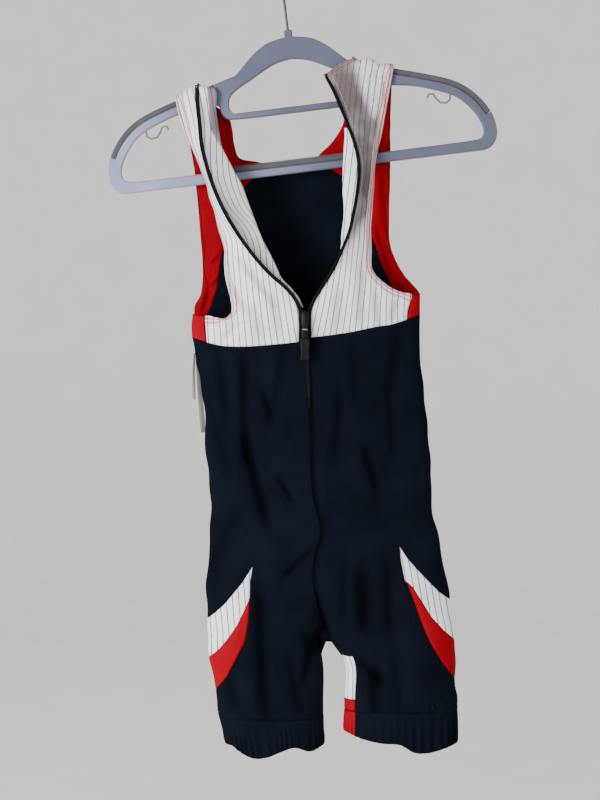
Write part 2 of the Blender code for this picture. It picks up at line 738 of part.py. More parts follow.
def build_hanger():
    arm = soften(HANGER_ARM)
    normal = unit(np.gradient(arm, axis=0) @ np.array([[0, 1], [-1, 0]]))
    lowered = arm - normal * (GRIP + 0.3)
    step = [tuple(arm[0] - (0.6, 0)), *map(tuple, lowered), tuple(arm[-1] + (0.9, -1.2))]
    arc = [*HANGER_ARC[:2], *soften(HANGER_ARC[2:])]
    outline = mirrored([*arc, *step, *soften(HANGER_END)])
    holes = [mirrored(soften(HANGER_UPPER_HOLE)), mirrored(soften(HANGER_LOWER_HOLE))]
    prism("hanger", outline, holes, HANGER_THICK, LILAC, 1.2, place=on_hanger)
    under = arm - normal * GRIP
    strip = [*map(tuple, arm), *map(tuple, under[::-1])]
    prism("grip_l", strip, [], HANGER_THICK - 0.8, SOFT_GREY, 0.8, 0.8, place=on_hanger)
    flipped = [(-x, z) for x, z in strip]
    prism("grip_r", flipped, [], HANGER_THICK - 0.8, SOFT_GREY, 0.8, 0.8, place=on_hanger)
    bar = [(-80, -53.9), (80, -53.9), (80, -47.4), (-80, -47.4)]
    prism("grip_bar", bar, [], HANGER_THICK - 0.8, SOFT_GREY, 0.8, 0.8, place=on_hanger)
    for tag, sign in (("l", 1), ("r", -1)):
        path = [(sign * x, 0, z) for x, z in STRAP_HOOK]
        tube(f"strap_hook_{tag}", path, 1.2, LILAC, sides=6, place=on_hanger)
    # The wire hook: a straight stem, then an arc whose inside top is the origin.
    centre = np.array([0.0, 0.0, WIRE / 2 - HOOK_RADIUS])
    foot = on_hanger(np.array([[0.0, 0.0, 101.4]]))[0]
    turns = np.radians(np.linspace(187, -35, 15))
    arc = [centre + HOOK_RADIUS * np.array([math.cos(t), 0, math.sin(t)]) for t in turns]
    stem = [foot + (arc[0] - foot) * share for share in (0, 0.5)]
    tube("wire_hook", [*stem, *arc], WIRE / 2, STEEL, 0.25, 1.0)


def back_surface(x, level, depth):
    """Depth of the back above the chest: full in the middle, none at the side under the arm."""
    down = level - BACK_TILT * (x - 7)
    centre = 7.0
    side = np.where(x < centre, -124.3, 138.2)
    share = np.clip((x - centre) / (side - centre), 0, 1)
    keep = np.interp(level, (385, 424), (0.72, 1.0))
    y = depth * np.sqrt(np.clip(1 - keep * share * share, 0, 1))
    return np.stack([x, y, -down], axis=-1)


def build_back():
    """The red sides and straps of the back, and the black middle up to the neck."""
    red, black = 2, 8
    table = rows(BACK)
    black_grid = []
    for level, _, seam_r, seam_l, _, depth in table:
        x = np.linspace(seam_r, seam_l, black + 1)
        black_grid.append(back_surface(x, np.full(len(x), level), depth))
    grids = {}
    straps = {"r": (RIGHT_BACK_STRAP, RIGHT_SHOULDER), "l": (LEFT_BACK_STRAP, LEFT_SHOULDER)}
    for tag, edge, seam in (("r", 1, 2), ("l", 4, 3)):
        grid = []
        for row in table:
            x = np.linspace(row[edge], row[seam], red + 1)
            grid.append(back_surface(x, np.full(len(x), row[0]), row[5]))
        strap, shoulder = straps[tag]
        for level, arm_x, neck_x, depth in strap:
            x = np.linspace(arm_x, neck_x, red + 1)
            grid.append(back_surface(x, np.full(len(x), float(level)), depth * 1.12))
        down_a, x_a, down_z, x_z, y = shoulder[-1]
        share = np.linspace(0, 1, red + 1)
        x, down = x_a + (x_z - x_a) * share, down_a + (down_z - down_a) * share
        top = np.stack([x, np.full(red + 1, y), -down], -1)
        grid.append(top)
        grids[tag] = np.array(grid)
    whole = np.concatenate(
        [grids["r"][: len(table)], np.array(black_grid)[:, 1:-1], grids["l"][: len(table), ::-1]], axis=1
    )
    outward = np.zeros_like(whole)
    outward[..., 1] = 1
    normals = grid_normals(whole, outward)
    side = np.array([1.0, 0, 0])
    normals[:3, 0] = unit(normals[:3, 0] - 6 * side)
    normals[:3, -1] = unit(normals[:3, -1] + 6 * side)
    n_rows, n_columns = len(table) - 1, whole.shape[1] - 1
    cells = [(r, c) for r in range(n_rows) for c in range(red, n_columns - red)]
    cloth("back_upper", whole, normals, cells, BLACK)
    for tag, picked in (("r", slice(0, red + 1)), ("l", slice(n_columns - red, n_columns + 1))):
        grid = grids[tag] if tag == "r" else grids[tag][:, ::-1]
        outward = np.zeros_like(grid)
        outward[..., 1] = 1
        own = grid_normals(grid, outward)
        own[: len(table)] = normals[:, picked]
        own[-1] = (0.0, 1.0, 0.0)
        cells = [(r, c) for r in range(len(grid) - 1) for c in range(red)]
        cloth(f"back_strap_{tag}", grid, own, cells, RED)


def build_side(tag, sections, columns, body, arm_level, arm_share):
    """The small red block under the arm, in front of the side."""
    points, normals = body
    seam_points, seam_normals = points[0, 7:10], normals[0, 7:10]
    grid, own = [seam_points], [seam_normals]
    for share in (0.5, 1.0):
        row = []
        for place in range(3):
            down = -seam_points[place][2]
            goal = arm_level[0] + (arm_level[1] - arm_level[0]) * place / 2
            at = down + (goal - down) * share
            column = columns[7 + place]
            shifted = column[0] + (arm_share - columns[7][0]) * (1 - place / 2) * share
            row.append(body_point(sections, np.float64(shifted), np.float64(at), False))
        grid.append(np.array(row))
        own.append(seam_normals)
    cloth(f"side_{tag}", np.array(grid), np.array(own), [(r, c) for r in range(2) for c in range(2)], RED)


def build_zip(right, right_normals, left, left_normals):
    """The two open zip halves, the closed zip under the slider, and the slider with its pull."""
    for tag, grid, normals, widths, foot in (
        ("r", right, right_normals, (5.2, 5.6, 5.2), (2.5, 2.4, 1.8)),
        ("l", left, left_normals, (5.2, 4.6, 4.0), (9.2, 9.5, 9.8)),
    ):
        n_yoke = len(RIGHT_YOKE) if tag == "r" else len(LEFT_YOKE)
        edge = grid[3:n_yoke, 5].copy()
        edge[:, 0] += np.interp(-edge[:, 2], (380, 420), (0.6, 3.0)) * (1 if tag == "r" else -1)
        path = np.vstack([np.transpose([foot, (-25.2, -25.6, -26.0), (-445, -432, -420)]), edge])
        facing = np.vstack([np.tile((0.0, -1.0, 0.0), (3, 1)), unit(normals[3:n_yoke, 5])])
        facing[:, 1] -= 0.4
        width = np.interp(-path[:, 2], (150, 400, 446), (widths[2], widths[1], widths[0]))
        ribbon(f"zip_tape_{tag}", path, facing, width, 1.3, ZIP_BLACK, 0.9)
    downs = np.linspace(447.5, 520, 8)
    depth = smooth(RIGHT_SECTIONS, downs)[:, 1]
    path = np.stack([smooth(CENTRE, downs)[:, 0], -depth, -downs], axis=-1)
    width = np.interp(downs, (447, 520), (8.0, 3.0))
    ribbon("zip_closed", path, np.tile((0.0, -1.0, 0.0), (len(path), 1)), width, 1.3, ZIP_BLACK, 0.6)


def plate(name, outline, y0, y1, colour, rough=0.4, metal=0.0):
    """An upright plate from an outline in x and down, with small rounded edges."""
    made = prism(name, [(x, -d) for x, d in outline], [], y1 - y0, colour, 0.5, rough)
    for vertex in made.data.vertices:
        vertex.co.y += (y0 + y1) / 2 * 0.001
    return made


SLIDER_X = 5.6
SLIDER = ((-3.6, 411), (0, 408.6), (3.6, 411), (4.4, 416), (3.5, 431), (-3.5, 431), (-4.4, 416))
PULL = (
    (-3.4, 429.9), (3.4, 429.9), (4.0, 442), (5.2, 445), (5.0, 452), (4.4, 457), (5.4, 466),
    (-5.4, 466), (-4.4, 457), (-5.0, 452), (-5.2, 445), (-4.0, 442),
)


def build_slider():
    plate("zip_slider", [(SLIDER_X + x, d) for x, d in SLIDER], -32.05, -29.0, ZIP_BLACK, 0.3, 0.6)
    plate("pull", [(SLIDER_X + x, d) for x, d in PULL], -34.9, -32.5, ZIP_BLACK, 0.45)


# The label's two leaves: down, x of the front and of the back edge.
LABEL_LONG = (
    (458, -121.2, -119.0),
    (482, -119.6, -116.2),
    (505, -118.2, -114.0),
    (528, -116.4, -111.6),
    (548, -114.6, -110.4),
)
LABEL_SHORT = (
    (457, -122.6, -120.4),
    (474, -124.0, -122.4),
    (492, -124.4, -122.0),
    (510, -124.0, -121.4),
)


def build_label():
    """A blank folded ribbon sewn into the right side seam: a long leaf and a shorter one outside it."""
    for name, table, front, back in (
        ("label_long", LABEL_LONG, -6, 15),
        ("label_short", LABEL_SHORT, -8, 12),
    ):
        points = []
        for down, x_front, x_back in table:
            for x, y in ((x_front, front), (x_back, back), (x_back - 0.9, back), (x_front - 0.9, front)):
                points.append((x, y, -down))
        faces = [(0, 1, 2, 3), tuple(len(points) - 4 + k for k in (3, 2, 1, 0))]
        for r in range(len(table) - 1):
            for k in range(4):
                a, b = r * 4 + k, r * 4 + (k + 1) % 4
                faces.append((a, a + 4, b + 4, b))
        made = solid(name, points, faces, WHITE)
        turn_out(made)


def main():
    for old in list(bpy.data.objects):
        bpy.data.objects.remove(old)
    right = body_half(
        "r", RIGHT_SECTIONS, RIGHT_COLUMNS, RIGHT_BAND, RIGHT_BACK_BAND, RIGHT_CUFF_TOP, wrap=False
    )
    left = body_half("l", LEFT_SECTIONS, LEFT_COLUMNS, LEFT_BAND, LEFT_BACK_BAND, LEFT_CUFF_TOP, wrap=True)
    cuff("r", RIGHT_SECTIONS, RIGHT_CUFF_TOP, RIGHT_HEM)
    cuff("l", LEFT_SECTIONS, LEFT_CUFF_TOP, LEFT_HEM)
    yoke_r, normals_r = yoke("r", RIGHT_YOKE, RIGHT_SHOULDER, right, RIGHT_COLUMNS, "zip_flap_r")
    yoke_l, normals_l = yoke("l", LEFT_YOKE, LEFT_SHOULDER, left, LEFT_COLUMNS, "zip_facing_l")
    build_side("r", RIGHT_SECTIONS, RIGHT_COLUMNS, right, (414.5, 412), 0.884)
    build_side("l", LEFT_SECTIONS, LEFT_COLUMNS, left, (390, 388), 0.925)
    build_back()
    build_hanger()
    build_zip(yoke_r, normals_r, yoke_l, normals_l)
    build_slider()
    build_label()


main()
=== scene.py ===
import collections
import functools
import json
import math

import bmesh
import bpy
import numpy as np
from bpy.props import FloatProperty, FloatVectorProperty, IntProperty, PointerProperty
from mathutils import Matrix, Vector
from mathutils.bvhtree import BVHTree
from mathutils.kdtree import KDTree

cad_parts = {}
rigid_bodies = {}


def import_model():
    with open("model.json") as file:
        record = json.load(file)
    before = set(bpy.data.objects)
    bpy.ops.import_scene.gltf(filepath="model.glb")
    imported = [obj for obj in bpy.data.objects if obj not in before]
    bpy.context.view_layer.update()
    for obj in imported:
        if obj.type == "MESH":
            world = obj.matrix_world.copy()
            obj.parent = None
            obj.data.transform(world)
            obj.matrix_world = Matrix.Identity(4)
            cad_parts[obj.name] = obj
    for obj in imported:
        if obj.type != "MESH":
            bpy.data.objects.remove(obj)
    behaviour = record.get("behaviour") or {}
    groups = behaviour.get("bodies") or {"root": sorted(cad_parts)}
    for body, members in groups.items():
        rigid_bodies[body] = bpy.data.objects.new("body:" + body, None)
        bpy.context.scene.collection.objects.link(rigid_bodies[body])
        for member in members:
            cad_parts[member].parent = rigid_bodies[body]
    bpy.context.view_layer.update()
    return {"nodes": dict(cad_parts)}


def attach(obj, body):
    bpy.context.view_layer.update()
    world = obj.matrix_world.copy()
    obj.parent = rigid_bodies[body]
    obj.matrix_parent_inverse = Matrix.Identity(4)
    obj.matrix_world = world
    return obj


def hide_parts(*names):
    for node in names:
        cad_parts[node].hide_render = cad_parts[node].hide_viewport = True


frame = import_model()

bl_info = {
    "name": "Race suit on a hanger",
    "version": (1, 0, 0),
    "blender": (4, 5, 0),
    "location": "View3D > Sidebar > Suit",
    "description": "Cloth, stitching, zip, hanger finish and stage for the hanging suit",
    "category": "Object",
}

MM = 0.001

# The suit's own tables, in millimetres, within a few millimetres of the solids: x to the viewer's
# right, y away from the viewer, and "down" from the hook's hold. RIGHT and LEFT, or r and l, are
# the wearer's sides.
CROTCH = 785.0
FORK_TOP = 690.0  # where the seat starts to part into two legs
# Sections of each half of the body and of its leg, from under the arm to the hem:
# down, x of the side, half the depth.
RIGHT_SECTIONS = (
    (404, -122.6, 22.0), (423, -125.1, 23.0), (440, -124.3, 24.0), (465, -118.6, 24.0),
    (502, -113.0, 24.0), (554, -108.8, 24.5), (600, -105.3, 25.0), (635, -103.6, 25.5),
    (657, -103.0, 26.0), (684, -105.2, 27.0), (712, -107.0, 28.0), (749, -107.7, 29.5),
    (780, -106.2, 31.0), (788, -105.3, 31.2), (803, -103.9, 31.5), (842, -97.7, 30.0),
    (869, -94.4, 28.0), (892, -88.0, 26.0), (918, -82.0, 25.0),
)
LEFT_SECTIONS = (
    (384, 138.4, 22.0), (404, 138.4, 22.5), (440, 138.0, 24.0), (478, 139.8, 24.0),
    (502, 142.5, 24.0), (554, 147.6, 24.5), (600, 150.9, 25.0), (635, 151.8, 25.5),
    (657, 156.8, 26.0), (684, 162.8, 27.0), (712, 168.4, 28.0), (749, 174.1, 29.5),
    (780, 177.2, 31.0), (788, 177.9, 31.2), (803, 178.4, 31.5), (842, 178.8, 30.0),
    (869, 181.0, 28.0), (892, 180.9, 26.0), (918, 181.0, 25.0),
)

# The centre line down to the crotch, then the inseam of each leg: down, x.
CENTRE = (
    (384, 5.0), (404, 6.0), (440, 7.4), (502, 10.3), (554, 12.5), (600, 13.4), (635, 18.6),
    (657, 24.6), (684, 17.9), (712, 15.2), (749, 22.5), (785, 33.0),
)
RIGHT_INSEAM = ((785, 20.5), (790, 20.6), (797, 23.4), (803, 25.3), (842, 27.0), (918, 27.0))
LEFT_INSEAM = ((785, 34.0), (792, 38.0), (803, 47.0), (842, 49.8), (918, 51.0))

# Columns of each half's front, as shares of the way from the centre to the side, at the chest,
# at the tip of the leg band and at the hem. The sixth column is the band's inner end.
RIGHT_COLUMNS = (
    (0.0, 0.0, 0.0), (0.03, 0.03, 0.03), (0.09, 0.10, 0.10), (0.26, 0.24, 0.24), (0.42, 0.40, 0.42),
    (0.59, 0.571, 0.61), (0.74, 0.73, 0.75), (0.87, 0.87, 0.88), (0.96, 0.96, 0.965),
    (1.0, 1.0, 1.0),
)
LEFT_COLUMNS = (
    (0.0, 0.0, 0.0), (0.025, 0.03, 0.03), (0.06, 0.09, 0.095), (0.24, 0.24, 0.24),
    (0.42, 0.42, 0.45), (0.60, 0.668, 0.690), (0.74, 0.76, 0.79), (0.878, 0.88, 0.90),
    (0.96, 0.965, 0.97), (1.0, 1.0, 1.0),
)

# Lines across the front: x, down. Chest is the seam between the white yoke and the black body.
CHEST = (
    (-125, 439), (-107, 445), (-84, 450), (-61, 450), (-42, 449), (-19, 447), (1, 445), (12, 441),
    (35, 437), (54, 435), (75, 429), (99, 426), (111, 423), (122, 419), (139, 413),
)
# The white band's top edge, the seam between white and red, and the red band's lower edge.
RIGHT_BAND = (
    ((-108, 761), (-96, 752), (-86, 743), (-76, 731), (-65, 718), (-54, 700)),
    ((-105, 806), (-92, 794), (-81.5, 781), (-72, 767), (-64, 751), (-57, 735)),
    ((-98, 843), (-85.5, 828), (-73.5, 807), (-64, 788), (-60, 764), (-57.5, 739)),
)
LEFT_BAND = (
    ((112, 675), (122.5, 691), (134.5, 705), (147.6, 718), (160, 730), (174, 740)),
    ((121.5, 717), (129, 724), (139, 740), (150.5, 758), (164, 773), (178, 785)),
    ((122, 718.8), (129, 740), (137, 763), (149, 788), (163, 811), (178, 829)),
)
# The same three lines at the side and at the inseam of the back of each leg.
RIGHT_BACK_BAND = ((761, 806, 843), (803, 848, 862))
LEFT_BACK_BAND = ((740, 785, 829), (810, 857, 864))
# Where the centre front has the rows that the band's lines have.
CENTRE_MARKS = (690, 742, CROTCH)
BELOW_SHARES = (0.22, 0.83)  # rows between the red band and the hem, as shares of that height
RIGHT_HEM = (
    (-86, 905), (-75, 913), (-62, 918), (-45, 917), (-27, 911), (-9, 906), (12, 911), (27, 906),
)
LEFT_HEM = (
    (51, 890), (68, 896), (93, 901), (115, 903), (129, 911), (146, 912), (161, 909), (181, 903),
)

# The white front on the right. Each row runs across the strap: down, x and y of the armhole edge,
# then of the zip edge, how far the row arches up between them, then down, x and y of the flap.
RIGHT_YOKE = (
    (445, -107, -11, 446, -1.2, -24, 0, None, None, None),
    (430, -107.7, -11.3, 433, -1.0, -24.5, 0, None, None, None),
    (414.5, -108, -10.6, 419, -1.0, -25, -8.5, None, None, None),
    (416.5, -97.5, -14, 411, -1.4, -26, -8, None, None, None),
    (418, -87.8, -17, 403, -3.6, -27, -6.5, 406, 4.0, -26),
    (414, -80.4, -18, 394, -8.5, -28, -3, 398, 1.0, -26.5),
    (404, -77.9, -18, 382, -18.5, -30, 0, 385, -8.5, -27.5),
    (391, -80.5, -17, 371, -31.5, -33, 0, 374, -19.5, -28.5),
    (374, -85.2, -16, 361, -41.5, -36, 0, 363, -25.0, -28.5),
    (358, -86.4, -15, 349, -52.0, -39, 0, 351, -30.4, -29),
    (339, -87.1, -13, 334, -63.5, -42, 0, 337, -37.7, -29.5),
    (319, -92.3, -12, 317, -75.0, -44, 0, 318, -46.4, -30),
    (296, -98.6, -11, 295, -87.5, -45, 0, 295, -55.2, -30),
    (271, -106, -10, 268, -99.0, -44, 0, 271, -63.8, -29),
    (249, -113.3, -9.4, 246, -106.0, -40, 0, 248, -75.5, -27),
    (226, -123.1, -9, 224, -111.5, -33, 0, 226, -87.0, -23),
    (204, -132.2, -9, 198, -114.5, -24, 0, 204, -92.0, -18),
    (184, -138.6, -9, 172, -117.5, -14, 0, 180, -95.5, -12),
    (167, -142.4, -8, 151, -118.5, -9, 0, 153, -98.5, -9),
)
# Over the shoulder to its seam at the back: down and x at the armhole, then at the zip's column,
# and y.
RIGHT_SHOULDER = (
    (162.8, -143, 146, -117, 0), (166.5, -142.6, 151, -112, 8), (178, -141.6, 165, -106, 10.5),
)

# The same on the left, with the facing in place of the flap.
LEFT_YOKE = (
    (418.5, 122, -12, 440, 12.6, -24, 0, None, None, None),
    (405, 124, -10, 430, 12.6, -24.5, 0, None, None, None),
    (390, 127.7, -8.7, 421, 12.6, -25, -3, None, None, None),
    (388, 117.4, -12, 412, 12.8, -26, -3, None, None, None),
    (383, 104.9, -15, 400, 16.2, -27, -2, None, None, None),
    (375, 93.5, -17, 388, 22.4, -28, 0, None, None, None),
    (367, 85.5, -17.5, 375, 30.5, -30, 0, None, None, None),
    (358, 81.9, -17, 360, 39.2, -32, 0, None, None, None),
    (341, 81.9, -14, 340, 48.2, -33, 0, 340, 45.4, -32),
    (318, 81.2, -14, 322, 55.5, -34, 0, 323, 46.7, -31),
    (292, 82.6, -14, 296, 61.5, -34, 0, 297, 49.4, -31),
    (263, 85.5, -14, 271, 65.5, -33, 0, 272, 47.9, -30),
    (234, 88.9, -14, 246, 67.0, -31, 0, 247, 48.4, -28),
    (212, 92.7, -12, 225, 63.5, -29, 0, 225, 49.6, -26),
    (192, 96.3, -10.5, 202, 56.0, -26, 1, 202, 50.2, -24),
    (169, 100.3, -9.5, 179, 47.0, -22, 2, None, None, None),
    (147, 104.3, -9, 158, 38.5, -17, 6, None, None, None),
    (130, 107.2, -8.6, 139, 29.0, -13, 15, None, None, None),
)
LEFT_SHOULDER = (
    (126, 107.6, 115.5, 60, 0), (130, 107.2, 119, 60, 8), (142, 106.8, 132, 59, 10.5),
)

# The foot of the upper back, across the whole width: x, down.
BACK_FOOT = ((-125, 439.2), (139, 412.8))
# The back above the chest: level, x of right armhole, of right seam, of left seam, of left armhole,
# depth. The level is "down" with the tilt of the shoulders taken off. Above the neck, at 234, the
# two inner columns are the neck edges of the red straps.
BACK_TILT, BACK_MIDDLE = 0.1, 7.0
BACK = (
    (426, -124.2, -122.2, 136.0, 138.0, 23.5), (412, -124.8, -114.0, 119.0, 138.4, 23.5),
    (400, -123.2, -107.0, 110.5, 138.2, 23.5), (388, -121.4, -101.5, 105.0, 129.0, 23.5),
    (378, -115.6, -98.0, 101.6, 121.0, 23.5), (362, -113.0, -95.0, 94.5, 111.8, 23),
    (340, -112.9, -92.0, 87.5, 104.6, 23), (310, -115.1, -83.0, 74.5, 103.4, 22.5),
    (282, -117.4, -73.5, 61.0, 103.8, 22), (258, -119.4, -64.0, 50.8, 104.2, 21),
    (231, -121.9, -45.0, 20.5, 104.4, 20),
)
RIGHT_BACK_STRAP = (
    (223, -123.4, -69.5, 20), (208, -126.4, -75.8, 19), (188, -130.4, -78.6, 17),
    (176, -134, -82, 14.5),
)
LEFT_BACK_STRAP = (
    (216, 104.4, 36, 19.5), (198, 104.6, 48.5, 18.5), (176, 105.4, 54, 16.5),
    (156, 106.2, 57.5, 13.5),
)

# Soft folds pressed into the black front: ends (x, down), half width and depth.
FOLDS = (
    (-52, 455, -38, 560, 13, 3.0), (-22, 470, -52, 640, 14, 2.2), (38, 470, 52, 620, 13, 2.0),
    (84, 450, 98, 640, 15, 2.2), (-84, 700, -40, 640, 12, 2.0), (-38, 730, -22, 862, 13, 2.4),
    (92, 690, 104, 862, 14, 2.4), (70, 760, 60, 860, 11, 1.8),
)
TIP_COLUMN = 5
SIDE_COLUMN = 9
ROWS_TO_BAND, ROWS_WHITE, ROWS_RED = 17, 2, 2

# One half of the suit: the way in x from its side to the centre, its tables, and in cuff_top how
# far down its gathered hem begins.
Half = collections.namedtuple(
    "Half", "way sections inseam columns band back_band cuff_top hem yoke shoulder"
)
HALVES = {
    "r": Half(1, RIGHT_SECTIONS, RIGHT_INSEAM, RIGHT_COLUMNS, RIGHT_BAND, RIGHT_BACK_BAND, 874.0,
              RIGHT_HEM, RIGHT_YOKE, RIGHT_SHOULDER),
    "l": Half(-1, LEFT_SECTIONS, LEFT_INSEAM, LEFT_COLUMNS, LEFT_BAND, LEFT_BACK_BAND, 866.0,
              LEFT_HEM, LEFT_YOKE, LEFT_SHOULDER),
}

# How a cut of cloth ends, in millimetres: the width over which its edge turns down and how far,
# how much thinner it is there, and the step, height and puckers of a doubled hem.
TURN_WIDTH, TURN_DEPTH, EDGE_THINNING = 2.2, 0.5, 0.45
HEM_STEP, HEM_HEIGHT = 1.4, 0.35
PUCKER_PITCH, PUCKER_HEIGHT = 5.5, 0.12
RIM_REACH = 12.0  # past this a point counts as away from the edge
NO_HEM = 99.0  # the distance to a hem on a piece that has none
STITCH_LIFT = 0.1  # millimetres from the cloth to a thread's middle
TREES = {}  # the search tree of each stitched piece
# The gathered hems: about their height, how they end, and their points around and down.
CUFF_HEIGHT = 40.0
CUFF_TURN, CUFF_THINNING = 2.5, 0.4
CUFF_AROUND, CUFF_LEVELS = 520, 22
RED_CUFF_X = 62.4  # the left hem is red on the inseam's side of this
BAND_GATHER = 9.4  # pitch of the gathers just above a hem


def rows(table):
    """A table as an array, with NaN where it has None."""
    return np.array(table, float)


def clamp(values):
    return np.clip(values, 0, 1)


def smoothstep(share):
    return share * share * (3 - 2 * share)


def hermite(values, known, at):
    """A smooth curve through `values` at the `known` places, read at the places `at`."""
    slopes = np.gradient(values, known, axis=0)
    at = np.clip(np.asarray(at, float), known[0], known[-1])
    index = np.clip(np.searchsorted(known, at) - 1, 0, len(known) - 2)
    step = known[index + 1] - known[index]
    shape = step.shape + (1,) * (values.ndim - 1)
    share = ((at - known[index]) / step).reshape(shape)
    step = step.reshape(shape)
    cubed, squared = share**3, share**2
    return (
        (2 * cubed - 3 * squared + 1) * values[index]
        + (cubed - 2 * squared + share) * step * slopes[index]
        + (3 * squared - 2 * cubed) * values[index + 1]
        + (cubed - squared) * step * slopes[index + 1]
    )


def smooth(table, at):
    """The other columns of a table at values of its first, on a smooth curve."""
    table = rows(table)
    return hermite(table[:, 1:], table[:, 0], at)


def line_at(line, x):
    """How far down a line is at x."""
    line = rows(line)
    return np.interp(x, line[:, 0], line[:, 1])


def unit(vectors):
    return vectors / np.maximum(np.linalg.norm(vectors, axis=-1, keepdims=True), 1e-9)


def grid_normals(points, outward):
    """The normals of a grid of points, on the side that `outward` is on."""
    normals = unit(np.cross(np.gradient(points, axis=0), np.gradient(points, axis=1)))
    return normals * np.sign((normals * outward).sum())


def run_across(points):
    """The distance of each point of a grid along its row, from the first column."""
    gaps = np.linalg.norm(np.diff(points, axis=1), axis=-1)
    return np.concatenate([np.zeros((len(points), 1)), np.cumsum(gaps, axis=1)], axis=1)


def fork(down):
    """How far the seat has parted into two legs, from 0 to -1."""
    return np.sin(-0.5 * np.pi * smoothstep(clamp((down - FORK_TOP) / (CROTCH - FORK_TOP))))


def creases(x, down, table):
    """Depth of a table of creases at points: ends (x, down), half width and depth."""
    depth = np.zeros_like(x)
    for x0, d0, x1, d1, width, deep in table:
        length = math.hypot(x1 - x0, d1 - d0)
        along = ((x - x0) * (x1 - x0) + (down - d0) * (d1 - d0)) / length
        off = ((x - x0) * (d1 - d0) - (down - d0) * (x1 - x0)) / length
        reach = min(40.0, length * 0.5)
        ends = clamp(np.minimum(along, length - along) / reach + 0.5)
        depth += deep * smoothstep(ends) * np.exp(-((off / width) ** 2))
    return depth


def ripple(x, down, seed, waves, amount):
    """Soft uneven cloth: crossing waves, from a shortest to a longest length in millimetres."""
    random = np.random.default_rng(seed)
    total = np.zeros_like(x)
    for _ in range(14):
        angle, phase = random.uniform(0, math.pi), random.uniform(0, 2 * math.pi)
        length = random.uniform(*waves)
        across = x * math.cos(angle) + down * math.sin(angle)
        total += np.sin(across * 2 * math.pi / length + phase)
    return total * amount / 5


def body_point(half, share, down, back):
    """The point at a share of the way from the centre to the side, on the body's front or back."""
    side, depth = np.moveaxis(smooth(half.sections, down), -1, 0)
    middle, inseam = smooth(CENTRE, down)[..., 0], smooth(half.inseam, down)[..., 0]
    inner = np.where(down < CROTCH - 0.01, middle, inseam)
    start = fork(down)
    sine = start + (1 - start) * share
    x = inner + share * (side - inner)
    y = depth * np.sqrt(clamp(1 - sine * sine))
    if not back:
        y = -(y - creases(x, down, FOLDS) * clamp((0.93 - share) * 6) * clamp(share * 9))
    return np.stack([x, y, -down], axis=-1)


def column_share(column, down):
    return np.interp(down, (440, 700, 745, 900), (column[0], column[1], column[2], column[2]))


def down_on_line(half, column, line):
    """How far down a column of the front crosses a line, closed in on by halves."""
    down = 600.0
    for _ in range(30):
        share = column_share(column, down)
        x = body_point(half, np.float64(share), np.float64(down), False)[0]
        down = 0.5 * down + 0.5 * float(line_at(line, x))
    return down


def half_grid(half):
    """Points of one half of the body: front columns from the centre to the side, then the back's."""
    lines, columns = [], half.columns
    for place, column in enumerate(columns):
        tip = columns[max(place, TIP_COLUMN)]
        marks = [down_on_line(half, tip, line) for line in half.band]
        if place < TIP_COLUMN:
            along = max(0, place - 2) / (TIP_COLUMN - 2)
            marks = [c + (m - c) * along for c, m in zip(CENTRE_MARKS, marks)]
        lines.append([down_on_line(half, column, CHEST), *marks, half.cuff_top])
    for column in reversed(columns[:-1]):
        share = column[1] ** 0.8
        side, inner = half.back_band
        marks = [inner[i] + (side[i] - inner[i]) * share for i in range(3)]
        lines.append([down_on_line(half, column, BACK_FOOT), *marks, half.cuff_top])
    points = []
    for place, marks in enumerate(lines):
        below = [marks[3] + (marks[4] - marks[3]) * share for share in BELOW_SHARES]
        row_of = np.cumsum([0, ROWS_TO_BAND, ROWS_WHITE, ROWS_RED, 1, 1, 1])
        down = np.interp(np.arange(row_of[-1] + 1), row_of, [*marks[:4], *below, marks[4]])
        back = place >= len(columns)
        column = columns[2 * len(columns) - 2 - place] if back else columns[place]
        points.append(body_point(half, column_share(column, down), down, back))
    points = np.array(points).transpose(1, 0, 2)
    normals = grid_normals(points, points - points.mean(axis=1, keepdims=True))
    joined, straight = np.array([half.way, 0.0, 0.0]), np.array([0.0, 1.0, 0.0])
    for column, way in ((0, -1), (-1, 1)):
        closed = clamp((-points[:, column, 2] - CROTCH + 60) / 35)[:, None]
        apart = unit(normals[:, column] + 3 * way * straight)
        normals[:, column] = unit(apart * (1 - closed) + joined * closed)
    return points, normals


